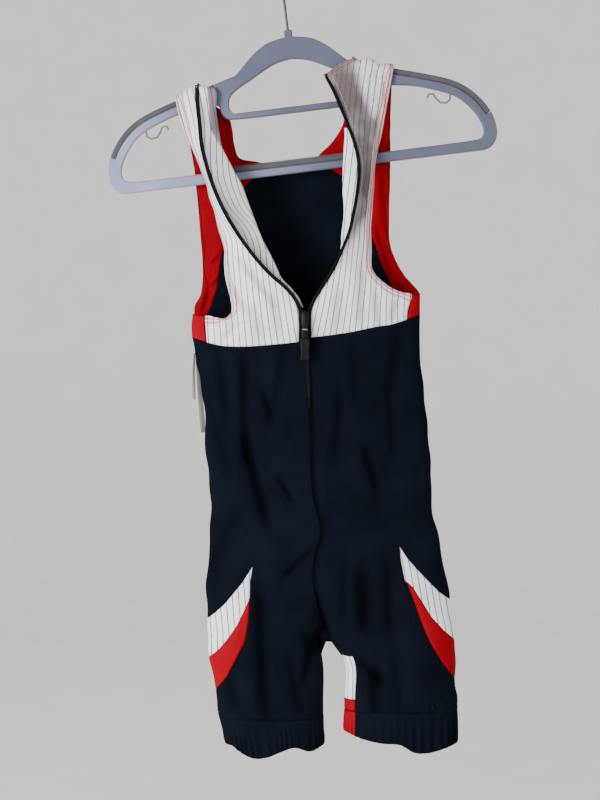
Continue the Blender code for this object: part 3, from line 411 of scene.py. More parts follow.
class Grid:
    """A fine grid of cloth: points, normals, distances across and along, and its coarse lines."""

    def __init__(self, points, normals, across=None, along=None, step=2.4):
        across = run_across(points) if across is None else across
        along = -points[..., 2] if along is None else along
        fine = np.concatenate([points, normals, across[..., None], along[..., None]], axis=2)
        self.lines = []
        for axis in (0, 1):
            values = np.moveaxis(fine, axis, 0)
            sizes = np.linalg.norm(np.diff(values[..., :3], axis=0), axis=-1).mean(axis=1)
            known = np.concatenate([[0], np.cumsum(np.maximum(sizes, 0.2))])
            counts = np.maximum(1, np.ceil(sizes / step)).astype(int)
            runs = [
                known[i] + (known[i + 1] - known[i]) * np.arange(count) / count
                for i, count in enumerate(counts)
            ]
            fine = np.moveaxis(hermite(values, known, np.concatenate([*runs, known[-1:]])), 0, axis)
            self.lines.append(np.concatenate([[0], np.cumsum(counts)]))
        self.points, self.normals = fine[..., :3], unit(fine[..., 3:6])
        self.across, self.along = fine[..., 6], fine[..., 7]

    def mask(self, *blocks):
        """The fine cells of blocks of coarse cells: first row, end row, first column, end column."""
        chosen = np.zeros((self.points.shape[0] - 1, self.points.shape[1] - 1), bool)
        row, column = self.lines
        for r0, r1, c0, c1 in blocks:
            chosen[row[r0] : row[r1], column[c0] : column[c1]] = True
        return chosen

    def whole(self):
        return self.mask((0, -1, 0, -1))

    def x_and_down(self):
        return self.points[..., 0], -self.points[..., 2]

    def raise_by(self, amount):
        self.points = self.points + self.normals * amount[..., None]

    def edge(self, column, first, last):
        """The fine points along one coarse column."""
        return self.points[first:last, self.lines[1][column]]


@functools.lru_cache
def body_grid(tag):
    """One half of the black body with its leg, front and back."""
    right, half = tag == "r", HALVES[tag]
    coarse = half_grid(half)
    grid = Grid(*coarse)
    grid.coarse = coarse
    marks = grid.lines[0][[*np.cumsum([0, ROWS_TO_BAND, ROWS_WHITE, ROWS_RED]), -1]]
    for column in range(grid.lines[1][TIP_COLUMN], grid.lines[1][SIDE_COLUMN] + 1):
        # The band's seams follow their lines between the columns too.
        line = grid.points[:, column].copy()
        down, goal = -line[:, 2], -line[marks, 2]
        for _ in range(3):
            goal[1:4] = [
                line_at(half.band[k], np.interp(goal[k + 1], down, line[:, 0])) for k in range(3)
            ]
        new = np.interp(down, down[marks], goal)
        for axis in range(3):
            grid.points[:, column, axis] = np.interp(new, down, line[:, axis])
    x, down = grid.x_and_down()
    front = grid.points[..., 1] < 0
    inner = grid.lines[1]
    place = np.arange(grid.points.shape[1])
    calm = np.minimum(place, place[-1] - place) / (inner[3] - inner[0])
    calm = clamp(calm)[None, :] * np.clip((down - 400) / 60, 0.3, 1)
    above = np.clip(half.cuff_top - down, 0, None)
    near = np.exp(-above / 13.0) * clamp(above / 5) * (0.35 if right else 0.85)
    wander = 1.3 * np.sin(grid.across / 17)
    gather = np.sin(grid.across * 2 * math.pi / BAND_GATHER + wander) * near
    lift = -2.4 * creases(x, down, BODY_CREASES) * front
    lift = lift - 1.4 * creases(x, down, BACK_CREASES) * ~front
    lift = lift + ripple(x, down, 5 if right else 8, (34, 90), 1.3)
    grid.raise_by(lift * calm * clamp(above / 18) + gather)
    # The band's stripes hang upright.
    outer_side = place >= inner[TIP_COLUMN] - 1
    grid.across = np.where(outer_side, x - (0.08 if right else 0.17) * (down - 750), grid.across)
    return grid


@functools.lru_cache
def yoke_grid(tag):
    """One white front with its strap, and the flap or facing inside the zip."""
    right, half = tag == "r", HALVES[tag]
    table = rows(half.yoke)
    chosen = np.array([column[0] for column in half.columns[2:8]])[::-1]
    across = (chosen[0] - chosen) / (chosen[0] - chosen[-1])
    body_points, body_normals = body_grid(tag).coarse
    points = [body_points[0, 2:8][::-1].copy()]
    points[0][-1] += (table[0, 4] - points[0][-1, 0], 0, 0.8)
    stop = 6 if right else 4
    for r in range(1, len(table)):
        down_a, x_a, y_a, down_z, x_z, y_z = table[r, :6]
        bulge = 12.0 * across * (1 - across) * min(1.0, (x_a - x_z) ** 2 / 2500)
        power = 1.15 if table[r, 6] > 0 else 0.55
        rise = table[r, 6] * np.sin(np.pi * clamp(across) ** power)
        x, y = x_a + (x_z - x_a) * across, y_a + (y_z - y_a) * across - bulge
        points.append(np.stack([x, y, -(down_a + (down_z - down_a) * across - rise)], axis=-1))
    last = points[-1]
    for down_a, x_a, down_z, x_z, y in half.shoulder:
        share = across / across[stop - 1]
        x, down = x_a + (x_z - x_a) * share, down_a + (down_z - down_a) * share
        row = np.stack([x, np.full(6, float(y)), -down], axis=-1)
        if not right:
            row[stop:] = last[stop:] + (row[stop - 1] - last[stop - 1])
        points.append(row)
    points = np.array(points)
    n_yoke = len(table)
    inner = []
    for r in range(len(points)):
        edge = points[r, -1]
        if r < n_yoke and not np.isnan(table[r, -3]):
            goal = np.array([table[r, -2], table[r, -1], -table[r, -3]])
        else:
            goal = edge + (edge - points[r, -2]) * 0.4
        inner.append([edge + (goal - edge) * 0.5, goal])
    whole = np.concatenate([points, np.array(inner)], axis=1)
    outward = np.zeros_like(whole)
    outward[:n_yoke, :, 1] = -1
    normals = grid_normals(whole, outward)
    normals[0, :6] = body_normals[0, 2:8][::-1]
    normals[1, 0] = normals[2, 0] = normals[0, 0]
    normals[-1] = (0.0, 1.0, 0.0)
    if not right:
        normals[n_yoke - 1, 4:] = normals[n_yoke - 2, 4:]
    # Stripes run parallel to the armhole on the strap, and lean a little from upright on the chest.
    from_arm = run_across(whole) * half.way
    down = np.append(table[:, 0], table[-1, 0] - np.array([10, 20, 30]))
    far = clamp(np.abs(whole[..., 0] - 6) / 105)
    lean = 0.2 - 0.15 * far if right else 0.26 * (far - 1)
    chest = whole[..., 0] + lean * (whole[..., 2] + 445)
    fixed = np.interp(320, down[:1:-1], chest[:1:-1, 0])
    high = clamp((345 - down) / 55)[:, None]
    along = np.tile((450 - down)[:, None], (1, whole.shape[1]))
    stripe = chest + (fixed + from_arm - chest) * smoothstep(high)
    stripe[:, 6:] = stripe[:, 5:6] + from_arm[:, 6:] - from_arm[:, 5:6]
    grid = Grid(whole, normals, stripe, along, 1.9)
    grid.n_yoke, grid.stop, grid.coarse = n_yoke, stop, (whole, normals)
    flap = table[:, -3]
    grid.flap_rows = [r for r in range(n_yoke - 1) if not np.isnan(flap[r : r + 2]).any()]
    x, down = grid.x_and_down()
    column = np.arange(grid.points.shape[1])
    row = np.arange(grid.points.shape[0])[:, None]
    calm = clamp(np.abs(column - grid.lines[1][5]) / 4.0)[None, :] * np.clip(row / 3.0, 0.15, 1)
    calm = calm * np.clip((grid.lines[0][n_yoke - 1] - row) / 8.0, 0.2, 1)
    uneven = ripple(x, down, 3 if right else 4, (16, 46), 0.55)
    grid.raise_by((uneven - 1.7 * creases(x, down, YOKE_CREASES)) * calm)
    if not right:
        # Over the hanger the left strap sags between its folds.
        past = row - grid.lines[0][n_yoke - 1]
        near = clamp(1 + past / 9) * clamp((len(row) - 2 - row) / 6)
        sag = 5.2 * np.exp(-(((x - 68) / 5.5) ** 2)) + 4.0 * np.exp(-(((x - 91) / 6) ** 2))
        grid.points[..., 2] -= sag * near * (column <= grid.lines[1][5])
    return grid


def back_surface(x, level, depth):
    """Points of the upper back, arched round its middle line."""
    down = level - BACK_TILT * (x - BACK_MIDDLE)
    side = np.where(x < BACK_MIDDLE, -124.3, 138.2)
    share = clamp((x - BACK_MIDDLE) / (side - BACK_MIDDLE))
    keep = np.interp(level, (385, 424), (0.72, 1.0))
    return np.stack([x, depth * np.sqrt(clamp(1 - keep * share * share)), -down], axis=-1)


@functools.lru_cache
def back_grids():
    """The black middle of the upper back, and the red side and strap on each side of it."""
    red, black = 2, 8
    table = rows(BACK)

    def lines(start, end, cells):
        """The back's rows between two columns of its table."""
        return [
            back_surface(np.linspace(row[start], row[end], cells + 1), row[0], row[5]) for row in table
        ]

    middle, grids = lines(2, 3, black), {}
    for tag, edge, seam, strap, shoulder in (
        ("r", 1, 2, RIGHT_BACK_STRAP, RIGHT_SHOULDER),
        ("l", 4, 3, LEFT_BACK_STRAP, LEFT_SHOULDER),
    ):
        grid = lines(edge, seam, red)
        for level, arm_x, neck_x, depth in strap:
            grid.append(back_surface(np.linspace(arm_x, neck_x, red + 1), level, depth * 1.12))
        down_a, x_a, down_z, x_z, y = shoulder[-1]
        share = np.linspace(0, 1, red + 1)
        x, down = x_a + (x_z - x_a) * share, down_a + (down_z - down_a) * share
        grid.append(np.stack([x, np.full(red + 1, y), -down], -1))
        grids[tag] = np.array(grid)
    count = len(table)
    whole = np.concatenate(
        [grids["r"][:count], np.array(middle)[:, 1:-1], grids["l"][:count, ::-1]], axis=1
    )
    outward = np.zeros_like(whole)
    outward[..., 1] = 1
    normals = grid_normals(whole, outward)
    for column, way in ((0, -1), (-1, 1)):
        normals[:3, column] = unit(normals[:3, column] + 6 * way * np.array([1.0, 0, 0]))
    made = {"middle": Grid(whole[:, red:-red], normals[:, red:-red])}
    for tag, picked in (("r", slice(0, red + 1)), ("l", slice(-red - 1, None))):
        grid = grids[tag] if tag == "r" else grids[tag][:, ::-1]
        outward = np.zeros_like(grid)
        outward[..., 1] = 1
        own = grid_normals(grid, outward)
        own[:count] = normals[:, picked]
        own[-1] = (0.0, 1.0, 0.0)
        made[tag] = Grid(grid, own, step=2.0)
    for tag, grid in made.items():
        x, down = grid.x_and_down()
        row = np.arange(grid.points.shape[0])[:, None]
        calm = np.clip(row / 4.0, 0.1, 1) * np.clip((len(row) - 1 - row) / 8.0, 0.1, 1)
        lift = ripple(x, down, 11, (22, 60), 0.35) - creases(x, down, BACK_CREASES + RED_CREASES)
        grid.raise_by(lift * calm)
    return made


def side_grid(tag):
    """The small red block under the arm."""
    half = HALVES[tag]
    columns = half.columns
    arm_level, arm_share = {"r": ((414.5, 412), 0.884), "l": ((390, 388), 0.925)}[tag]
    points, normals = body_grid(tag).coarse
    seam, seam_normals = points[0, 7:10], normals[0, 7:10]
    grid = [seam]
    for share in (0.5, 1.0):
        line = []
        for place in range(3):
            down = -seam[place][2]
            goal = arm_level[0] + (arm_level[1] - arm_level[0]) * place / 2
            shifted = columns[7 + place][0] + (arm_share - columns[7][0]) * (1 - place / 2) * share
            at = down + (goal - down) * share
            line.append(body_point(half, np.float64(shifted), np.float64(at), False))
        grid.append(np.array(line))
    return Grid(np.array(grid), np.array([seam_normals] * 3), step=1.8)


# Finer creases than the solids have: ends (x, down), half width and depth.
BODY_CREASES = (
    (-63, 462, -62, 578, 6, 1.4), (-62, 556, -38, 650, 6, 1.9), (-25, 598, -8, 625, 3, 1.5),
    (-42, 498, -32, 534, 4, 1.2), (-14, 450, -34, 530, 6, 1.0), (-102, 520, -80, 600, 7, 0.9),
    (48, 498, 39, 576, 6, 1.2), (102, 498, 107, 572, 5, 1.1), (74, 566, 89, 616, 5, 1.4),
    (60, 452, 66, 520, 7, 1.0), (113, 428, 104, 500, 7, 1.0), (-92, 452, -84, 540, 6, 1.0),
    (16, 678, -18, 712, 4, 1.3), (-70, 640, -100, 704, 6, 0.8), (100, 696, 102, 776, 5, 1.2),
    (70, 700, 74, 772, 8, 1.7), (-46, 728, -40, 868, 8, 1.7), (16, 780, 4, 832, 5, 2.0),
    (64, 805, 98, 834, 5, 1.5), (86, 814, 84, 872, 7, 1.5), (52, 700, 46, 770, 5, 0.9),
    (108, 800, 112, 862, 7, 1.0), (-12, 800, 2, 866, 6, 1.0), (-84, 820, -70, 868, 6, 0.9),
)
BACK_CREASES = (
    (-60, 470, -34, 600, 12, 1.6), (52, 470, 78, 620, 12, 1.6), (6, 640, -34, 770, 13, 1.8),
    (16, 640, 64, 770, 13, 1.8), (-70, 300, -20, 330, 9, 0.9), (80, 300, 24, 326, 9, 0.9),
    (-50, 800, -42, 870, 9, 1.4), (106, 796, 112, 862, 9, 1.4), (-96, 420, -60, 500, 8, 1.0),
)
YOKE_CREASES = (
    (-68, 352, -28, 402, 4.5, 1.4), (-84, 372, -60, 412, 4, 1.1), (-74, 424, -88, 440, 3.5, 1.2),
    (-52, 404, -44, 446, 6, 1.0), (72, 352, 70, 424, 5, 1.3), (112, 396, 104, 420, 4, 1.3),
    (46, 384, 40, 438, 7, 1.0), (86, 384, 90, 428, 4, 1.1), (-30, 392, -22, 444, 5, 0.9),
    (92, 176, 86, 262, 3, 1.4), (80, 150, 78, 236, 3.5, 1.2), (-112, 220, -104, 268, 3, 0.9),
    (70, 140, 74, 196, 3, 1.1), (96, 132, 98, 172, 2.6, 1.0), (88, 128, 88, 150, 3.0, 1.2),
)
RED_CREASES = (
    (-104, 352, -91, 338, 2.0, 1.0), (-103, 378, -94, 366, 2.0, 1.0),
    (-103, 396, -97, 384, 2.0, 0.9), (-115, 406, -109, 386, 2.4, 1.2),
    (-96, 250, -92, 330, 3.5, 0.9), (-104, 190, -98, 240, 3.5, 0.8), (86, 312, 106, 374, 3.0, 1.2),
    (98, 306, 124, 372, 3.0, 1.0), (92, 200, 94, 300, 4.0, 0.9), (112, 372, 130, 398, 2.4, 1.0),
    (104, 232, 108, 300, 3.0, 0.8), (84, 160, 90, 214, 3.5, 0.8),
)


def mesh_object(name, points, quads, uv=None, floats=None):
    """A smooth-shaded mesh of quads from points in millimetres."""
    mesh = bpy.data.meshes.new(name)
    mesh.vertices.add(len(points))
    mesh.vertices.foreach_set("co", (np.asarray(points) * MM).astype(np.float32).ravel())
    mesh.loops.add(quads.size)
    mesh.loops.foreach_set("vertex_index", quads.astype(np.int32).ravel())
    mesh.polygons.add(len(quads))
    mesh.polygons.foreach_set("loop_start", np.arange(len(quads), dtype=np.int32) * 4)
    mesh.polygons.foreach_set("use_smooth", np.ones(len(quads), bool))
    mesh.update(calc_edges=True)
    if uv is not None:
        layer = mesh.uv_layers.new(name="UVMap")
        layer.data.foreach_set("uv", (uv[quads.ravel()] * MM).astype(np.float32).ravel())
    for label, values in (floats or {}).items():
        data = mesh.attributes.new(label, "FLOAT", "POINT").data
        data.foreach_set("value", values.astype(np.float32))
    mesh.validate()
    return place(name, mesh)


def place(name, mesh):
    """A new object in the scene."""
    made = bpy.data.objects.new(name, mesh)
    bpy.context.scene.collection.objects.link(made)
    return made


def distances(points, targets, reach):
    """How far each point is from the nearest target, up to a reach."""
    tree = KDTree(len(targets))
    for where_at, target in enumerate(targets):
        tree.insert(target, where_at)
    tree.balance()
    return np.minimum([tree.find(point)[2] for point in points], reach)


def dress(made, look, stands_for=(), body="suit"):
    """Gives a finished piece its material, slot and body, and hides the solids it stands for."""
    made.data.materials.clear()
    made.data.materials.append(look)
    if stands_for:
        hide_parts(*stands_for)
    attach(made, body)
    return made


def rim_of(quads, count):
    """Starts and ends of the edges that only one quad has."""
    starts, ends = quads.ravel(), np.roll(quads, -1, axis=1).ravel()
    open_ = ~np.isin(starts * count + ends, ends * count + starts)
    return starts[open_], ends[open_]


def ring_quads(count, around):
    """Quads between closed rings of points."""
    index = np.arange(count * around).reshape(count, around)
    ahead = np.roll(index, -1, axis=1)
    return np.stack([index[:-1], index[1:], ahead[1:], ahead[:-1]], axis=-1)


def closed_wall(outer, inner, quads):
    """Quads of a closed wall: the outer face, the inner face turned over, and the rim between."""
    count = len(outer)
    start, end = rim_of(quads, count)
    rim = np.stack([end, start, start + count, end + count], axis=1)
    return np.vstack([outer, inner]), np.vstack([quads, quads[:, ::-1] + count, rim])


def facing_of(corners):
    """Across each quad of corner points: its diagonals' cross product, twice its area long."""
    a, b, c, d = np.moveaxis(corners, -2, 0)
    return np.cross(c - a, d - b)


def cloth(name, grid, mask, look, stands_for, hem=None, shade=None, runs_on=999.0):
    """One cut of cloth from a grid: a thin closed wall whose border turns down into its seam.

    `hem` is the path of a doubled hem, `shade` gives the darkness at points, and past `runs_on`
    the border goes on into the next piece and doesn't turn down."""
    sizes = bpy.context.scene.suit_cloth
    wall, hem_width = sizes.wall / MM, sizes.hem / MM
    across = grid.points.shape[1]
    row, column = np.nonzero(mask)
    corner = row * across + column
    quads = np.stack([corner, corner + 1, corner + across + 1, corner + across], axis=1)
    used, index = np.unique(quads, return_inverse=True)
    quads = index.reshape(-1, 4)
    outer, turned = grid.points.reshape(-1, 3)[used], grid.normals.reshape(-1, 3)[used]
    facing = facing_of(outer[quads])
    if (facing * turned[quads[:, 0]]).sum() < 0:
        quads = quads[:, ::-1]
    start, _ = rim_of(quads, len(used))
    border = outer[np.unique(start)]
    rim = distances(outer, border[-border[:, 2] < runs_on], RIM_REACH)
    hemmed = np.full(len(used), NO_HEM)
    if hem is not None:
        hemmed = distances(outer, hem, NO_HEM)
        step = smoothstep(clamp((hem_width - hemmed) / HEM_STEP + 0.5))
        waves = np.sin(grid.along.ravel()[used] * 2 * np.pi / PUCKER_PITCH)
        pucker = waves * np.exp(-(((hemmed - 8) / 5) ** 2))
        outer = outer + turned * (HEM_HEIGHT * step + PUCKER_HEIGHT * pucker)[:, None]
    turn = clamp(1 - rim / TURN_WIDTH) ** 2
    outer = outer - turned * (TURN_DEPTH * turn)[:, None]
    inner = outer - turned * (wall * (1 - EDGE_THINNING * turn))[:, None]
    points, faces = closed_wall(outer, inner, quads)
    uv = np.stack([grid.across.ravel()[used], grid.along.ravel()[used]], axis=1)
    floats = {"rim": np.tile(rim, 2), "hem": np.tile(hemmed, 2)}
    if shade is not None:
        floats["shade"] = shade(points[:, 0], -points[:, 2], floats["hem"])
    made = mesh_object(name, points, faces, np.tile(uv, (2, 1)), floats)
    dress(made, look, stands_for)
    gaps = np.linalg.norm(np.diff(grid.points, axis=1), axis=-1)[:-1] * mask
    drops = np.linalg.norm(np.diff(grid.points, axis=0), axis=-1)[:, :-1] * mask
    width, length = gaps.sum(axis=1).max(), drops.sum(axis=0).max()
    width * MM
    length * MM


class Value:
    """A socket of a node tree that takes part in Python's arithmetic."""

    def __init__(self, nodes, socket):
        self.nodes, self.socket = nodes, socket

    def maths(self, operation, *values, first=None):
        known = [self if first is None else first, *values]
        if first is not None:
            known.append(self)
        return self.nodes.add("ShaderNodeMath", {"operation": operation}, dict(enumerate(known)))

    def __add__(self, other):
        return self.maths("ADD", other)

    __radd__ = __add__

    def __mul__(self, other):
        return self.maths("MULTIPLY", other)

    __rmul__ = __mul__

    def __sub__(self, other):
        return self.maths("SUBTRACT", other)

    def __rsub__(self, other):
        return self.maths("SUBTRACT", first=other)

    def __truediv__(self, other):
        return self.maths("DIVIDE", other)

    def below(self, edge, soft):
        """One where this is under the edge, falling to zero over a soft width."""
        settings = {"interpolation_type": "SMOOTHSTEP", "clamp": True}
        sockets = {"Value": self, 1: edge - soft, 2: edge + soft, 3: 1.0, 4: 0.0}
        return self.nodes.add("ShaderNodeMapRange", settings, sockets)

    def line(self, pitch, half, soft):
        """Thin lines every `pitch`: one on each line, zero between."""
        where_at = (self / pitch).maths("FRACT")
        return ((where_at - 0.5).maths("ABSOLUTE") * pitch).below(half, soft)


class Nodes:
    """Adds nodes to a shader or geometry tree."""

    def __init__(self, tree):
        self.tree = tree

    def add(self, kind, settings=None, sockets=None, out=0):
        """One node: its settings, then the values or links of its sockets. Gives one output."""
        node = self.tree.nodes.new(kind)
        for key, value in (settings or {}).items():
            setattr(node, key, value)
        for key, value in (sockets or {}).items():
            if isinstance(value, Value):
                self.tree.links.new(value.socket, node.inputs[key])
            else:
                node.inputs[key].default_value = value
        return Value(self, node.outputs[out]) if len(node.outputs) else None

    def mix(self, share, first, second):
        first, second = ((*c, 1) if isinstance(c, tuple) else c for c in (first, second))
        settings = {"data_type": "RGBA"}
        return self.add("ShaderNodeMix", settings, {0: share, 6: first, 7: second}, out=2)

    def noise(self, where, scale, detail=2.0, rough=0.5):
        sockets = {"Vector": where, "Scale": scale, "Detail": detail, "Roughness": rough}
        return self.add("ShaderNodeTexNoise", {}, sockets)


def repeat_tree(name, shape):
    """A tree that sets a shape along the edges of a mesh, turned to the path and to `facing`."""
    tree = bpy.data.node_groups.new(name, "GeometryNodeTree")
    face = tree.interface
    face.new_socket("Geometry", in_out="INPUT", socket_type="NodeSocketGeometry")
    for label, size in (("Pitch", 0.002), ("Width", 0.001), ("Height", 0.001), ("Length", 0.002)):
        made = face.new_socket(label, in_out="INPUT", socket_type="NodeSocketFloat")
        made.default_value, made.subtype = size, "DISTANCE"
    face.new_socket("Material", in_out="INPUT", socket_type="NodeSocketMaterial")
    face.new_socket("Geometry", in_out="OUTPUT", socket_type="NodeSocketGeometry")
    nodes = Nodes(tree)
    given = tree.nodes.new("NodeGroupInput")
    path, pitch, width, height, length, look = (Value(nodes, given.outputs[k]) for k in range(6))
    curve = nodes.add("GeometryNodeMeshToCurve", {}, {"Mesh": path})
    sockets = {"Curve": curve, "Length": pitch}
    curve = nodes.add("GeometryNodeResampleCurve", {"mode": "LENGTH"}, sockets)
    tangent = nodes.add("GeometryNodeInputTangent")
    align = "FunctionNodeAlignRotationToVector"
    turn = nodes.add(align, {"axis": "Z"}, {"Vector": tangent})
    settings = {"data_type": "FLOAT_VECTOR"}
    facing = nodes.add("GeometryNodeInputNamedAttribute", settings, {"Name": "facing"})
    turn = nodes.add(align, {"axis": "Y", "pivot_axis": "Z"}, {"Rotation": turn, "Vector": facing})
    size = nodes.add("ShaderNodeCombineXYZ", {}, {0: width, 1: height, 2: length})
    if shape == "thread":
        bead = nodes.add("GeometryNodeMeshUVSphere", {}, {"Segments": 6, "Rings": 4, "Radius": 0.5})
    else:
        bead = nodes.add("GeometryNodeMeshCube", {}, {"Size": (1.0, 1.0, 1.0)})
    sockets = {"Points": curve, "Instance": bead, "Rotation": turn, "Scale": size}
    laid = nodes.add("GeometryNodeInstanceOnPoints", {}, sockets)
    real = nodes.add("GeometryNodeRealizeInstances", {}, {"Geometry": laid})
    if shape == "thread":
        real = nodes.add("GeometryNodeSetShadeSmooth", {}, {"Geometry": real})
    painted = nodes.add("GeometryNodeSetMaterial", {}, {"Geometry": real, "Material": look})
    nodes.add("NodeGroupOutput", {}, {0: painted})
    return tree


def repeat_along(name, paths, tree, look, sizes, body="suit"):
    """Sets the tree's shape along paths of (points, facing) in millimetres, as one plain mesh."""
    points, edges, facing = [], [], []
    for path, normals in paths:
        first = len(points)
        points += [tuple(point) for point in np.asarray(path) * MM]
        facing += list(np.asarray(normals, float))
        edges += [(k, k + 1) for k in range(first, len(points) - 1)]
    mesh = bpy.data.meshes.new(name)
    mesh.from_pydata(points, edges, [])
    attribute = mesh.attributes.new("facing", "FLOAT_VECTOR", "POINT")
    attribute.data.foreach_set("vector", np.array(facing, np.float32).ravel())
    made = place(name, mesh)
    modifier = made.modifiers.new("Repeat", "NODES")
    modifier.node_group = tree
    given = {"Material": look, **{key: value * MM for key, value in sizes.items()}}
    for item in tree.interface.items_tree:
        if item.in_out == "INPUT" and item.name in given:
            modifier[item.identifier] = given[item.name]
    graph = bpy.context.evaluated_depsgraph_get()
    made.data = bpy.data.meshes.new_from_object(made.evaluated_get(graph))
    made.modifiers.clear()
    bpy.data.meshes.remove(mesh)
    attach(made, body)
    return made


def smooth_path(path, times):
    """A path whose inner points are averaged with their neighbours."""
    path = np.array(path, float)
    for _ in range(times):
        path[1:-1] = (path[:-2] + 2 * path[1:-1] + path[2:]) / 4
    return path


def stitch_row(piece, edge, distance, inside):
    """A row on a piece, a distance in from one of its edges, with the cloth's normals."""
    mesh = piece.data
    points = np.empty(len(mesh.vertices) * 3)
    mesh.vertices.foreach_get("co", points)
    tree = TREES.get(piece.name)
    if tree is None:
        corners = [Vector(point) for point in points.reshape(-1, 3) / MM]
        faces = [tuple(face.vertices) for face in mesh.polygons]
        tree = TREES[piece.name] = BVHTree.FromPolygons(corners, faces)
    edge = smooth_path(edge, 3)
    near = [tree.find_nearest(Vector(point)) for point in edge]
    normals = smooth_path([hit[1] for hit in near], 6)
    side = unit(np.cross(unit(np.gradient(edge, axis=0)), normals))
    if np.dot(side.mean(axis=0), np.asarray(inside, float)) < 0:
        side = -side
    path, facing = [], []
    outward = Vector(normals.mean(axis=0))
    for point in smooth_path(edge + side * distance, 14):
        found, normal, _, _ = tree.find_nearest(Vector(point))
        if normal.dot(outward) >= -0.2:
            path.append(np.array(found) + np.array(normal) * STITCH_LIFT)
            facing.append(np.array(normal))
    return np.array(path), np.array(facing)


class Look:
    """A material with a Principled shader and its node helpers."""

    def __init__(self, name, rough=0.8, **constants):
        self.material = bpy.data.materials.new(name)
        self.material.use_nodes = True
        tree = self.material.node_tree
        self.shader = tree.nodes["Principled BSDF"]
        self.nodes = Nodes(tree)
        self.shader.inputs["Roughness"].default_value = rough
        for key, value in constants.items():
            self.shader.inputs[key.replace("_", " ")].default_value = value
        where = tree.nodes.new("ShaderNodeTexCoord")
        self.place = Value(self.nodes, where.outputs["Object"])
        self.uv = Value(self.nodes, where.outputs["UV"])

    def attribute(self, name):
        return self.nodes.add("ShaderNodeAttribute", {"attribute_name": name}, out=2)

    def across_and_along(self):
        split = self.nodes.add("ShaderNodeSeparateXYZ", {}, {0: self.uv})
        return split, Value(self.nodes, split.socket.node.outputs[1])

    def link(self, socket, value):
        self.nodes.tree.links.new(value.socket, self.shader.inputs[socket])

    def bump(self, height, distance, strength=1.0):
        sockets = {"Height": height, "Distance": distance, "Strength": strength}
        self.link("Normal", self.nodes.add("ShaderNodeBump", {}, sockets))


def times(colour, share):
    return tuple(channel * share for channel in colour)


def knit(look, pitch, depth, crumple=0.5):
    """A fine knit with small uneven crumples, as bump."""
    u, v = look.across_and_along()
    turns = 2 * math.pi / pitch
    rib = (u * turns).maths("SINE") * (v * (turns * 0.8)).maths("SINE")
    fuzz = look.nodes.noise(look.place, 1100.0, 3.0)
    soft = look.nodes.noise(look.place, 95.0, 3.0, 0.55)
    look.bump(rib * 0.25 + fuzz * 0.3 + soft * (crumple / depth * 0.001), depth)


def plain_cloth(name, colour, pale, rough, pitch=0.0009, crumple=0.5, **constants):
    """Stretch cloth of one uneven colour, with painted shade in its seams and where `shade` is raised.
    """
    look = Look(name, rough, **constants)
    cloud = look.nodes.noise(look.place, 22.0, 4.0, 0.6)
    fine = look.nodes.noise(look.place, 420.0, 2.0)
    tone = (cloud * 0.75 + fine * 0.25).below(0.5, 0.22)
    # Painted shade along the cloth's seams and edges.
    seam = look.attribute("rim").below(0.9, 0.7) * 0.55
    base = look.nodes.mix(tone, pale, colour)
    # Painted shade in the folds, where the `shade` attribute is raised.
    base = look.nodes.mix(look.attribute("shade"), base, times(colour, 0.2))
    look.link("Base Color", look.nodes.mix(seam, base, times(colour, 0.35)))
    look.link("Roughness", rough + (cloud - 0.5) * 0.12)
    knit(look, pitch, 0.00025, crumple)
    return look.material


def striped_cloth(name, sizes):
    """White stretch cloth with fine grey lines along it, and painted shade where `shade` is raised."""
    look = Look(name, 0.78, Specular_IOR_Level=0.25)
    u, _ = look.across_and_along()
    wander = (look.nodes.noise(look.place, 30.0, 2.0) - 0.5) * 0.0007
    main = (u + wander).line(sizes.stripe_pitch, sizes.stripe_width / 2, 0.00022)
    between = (u + wander + sizes.stripe_pitch / 2).line(sizes.stripe_pitch, 0.00022, 0.00022)
    broken = look.nodes.noise(look.place, 160.0, 2.0).below(0.56, 0.12)
    cloud = look.nodes.noise(look.place, 16.0, 3.0, 0.6)
    base = look.nodes.mix(cloud.below(0.5, 0.2), tuple(sizes.white), times(sizes.white, 0.93))
    # Painted shade where `shade` is raised, tinted pinkish in places where red cloth shows through the
    # thin white.
    patches = look.nodes.noise(look.place, 24.0, 3.0).below(0.5, 0.2)
    dark = look.attribute("shade") * (patches * 0.25 + 0.8)
    through = look.nodes.noise(look.place, 40.0, 2.0)
    shade_tint = look.nodes.mix(through, (0.14, 0.085, 0.082), (0.085, 0.083, 0.085))
    base = look.nodes.mix(dark, base, shade_tint)
    base = look.nodes.mix(main * (broken * 0.25 + 0.75), base, (0.05, 0.062, 0.085))
    base = look.nodes.mix(between * broken * 0.1, base, (0.35, 0.37, 0.42))
    hem = look.attribute("hem")
    pink = hem.below(9.0, 0.8) * (1 - hem.below(1.6, 0.5)) * 0.3
    base = look.nodes.mix(pink, base, (0.75, 0.33, 0.33))
    # Painted shade along the cloth's seams and edges.
    seam = look.attribute("rim").below(0.7, 0.6) * 0.35
    look.link("Base Color", look.nodes.mix(seam, base, (0.3, 0.3, 0.31)))
    knit(look, 0.0008, 0.0002, 0.7)
    return look.material


def thread(name, colour):
    look = Look(name, 0.7, Sheen_Weight=0.05, Specular_IOR_Level=0.1)
    sockets = {"Vector": look.place, "Scale": 900.0}
    twist = look.nodes.add("ShaderNodeTexWave", {"bands_direction": "DIAGONAL"}, sockets)
    look.link("Base Color", look.nodes.mix(twist * 0.4, colour, times(colour, 0.5)))
    return look.material


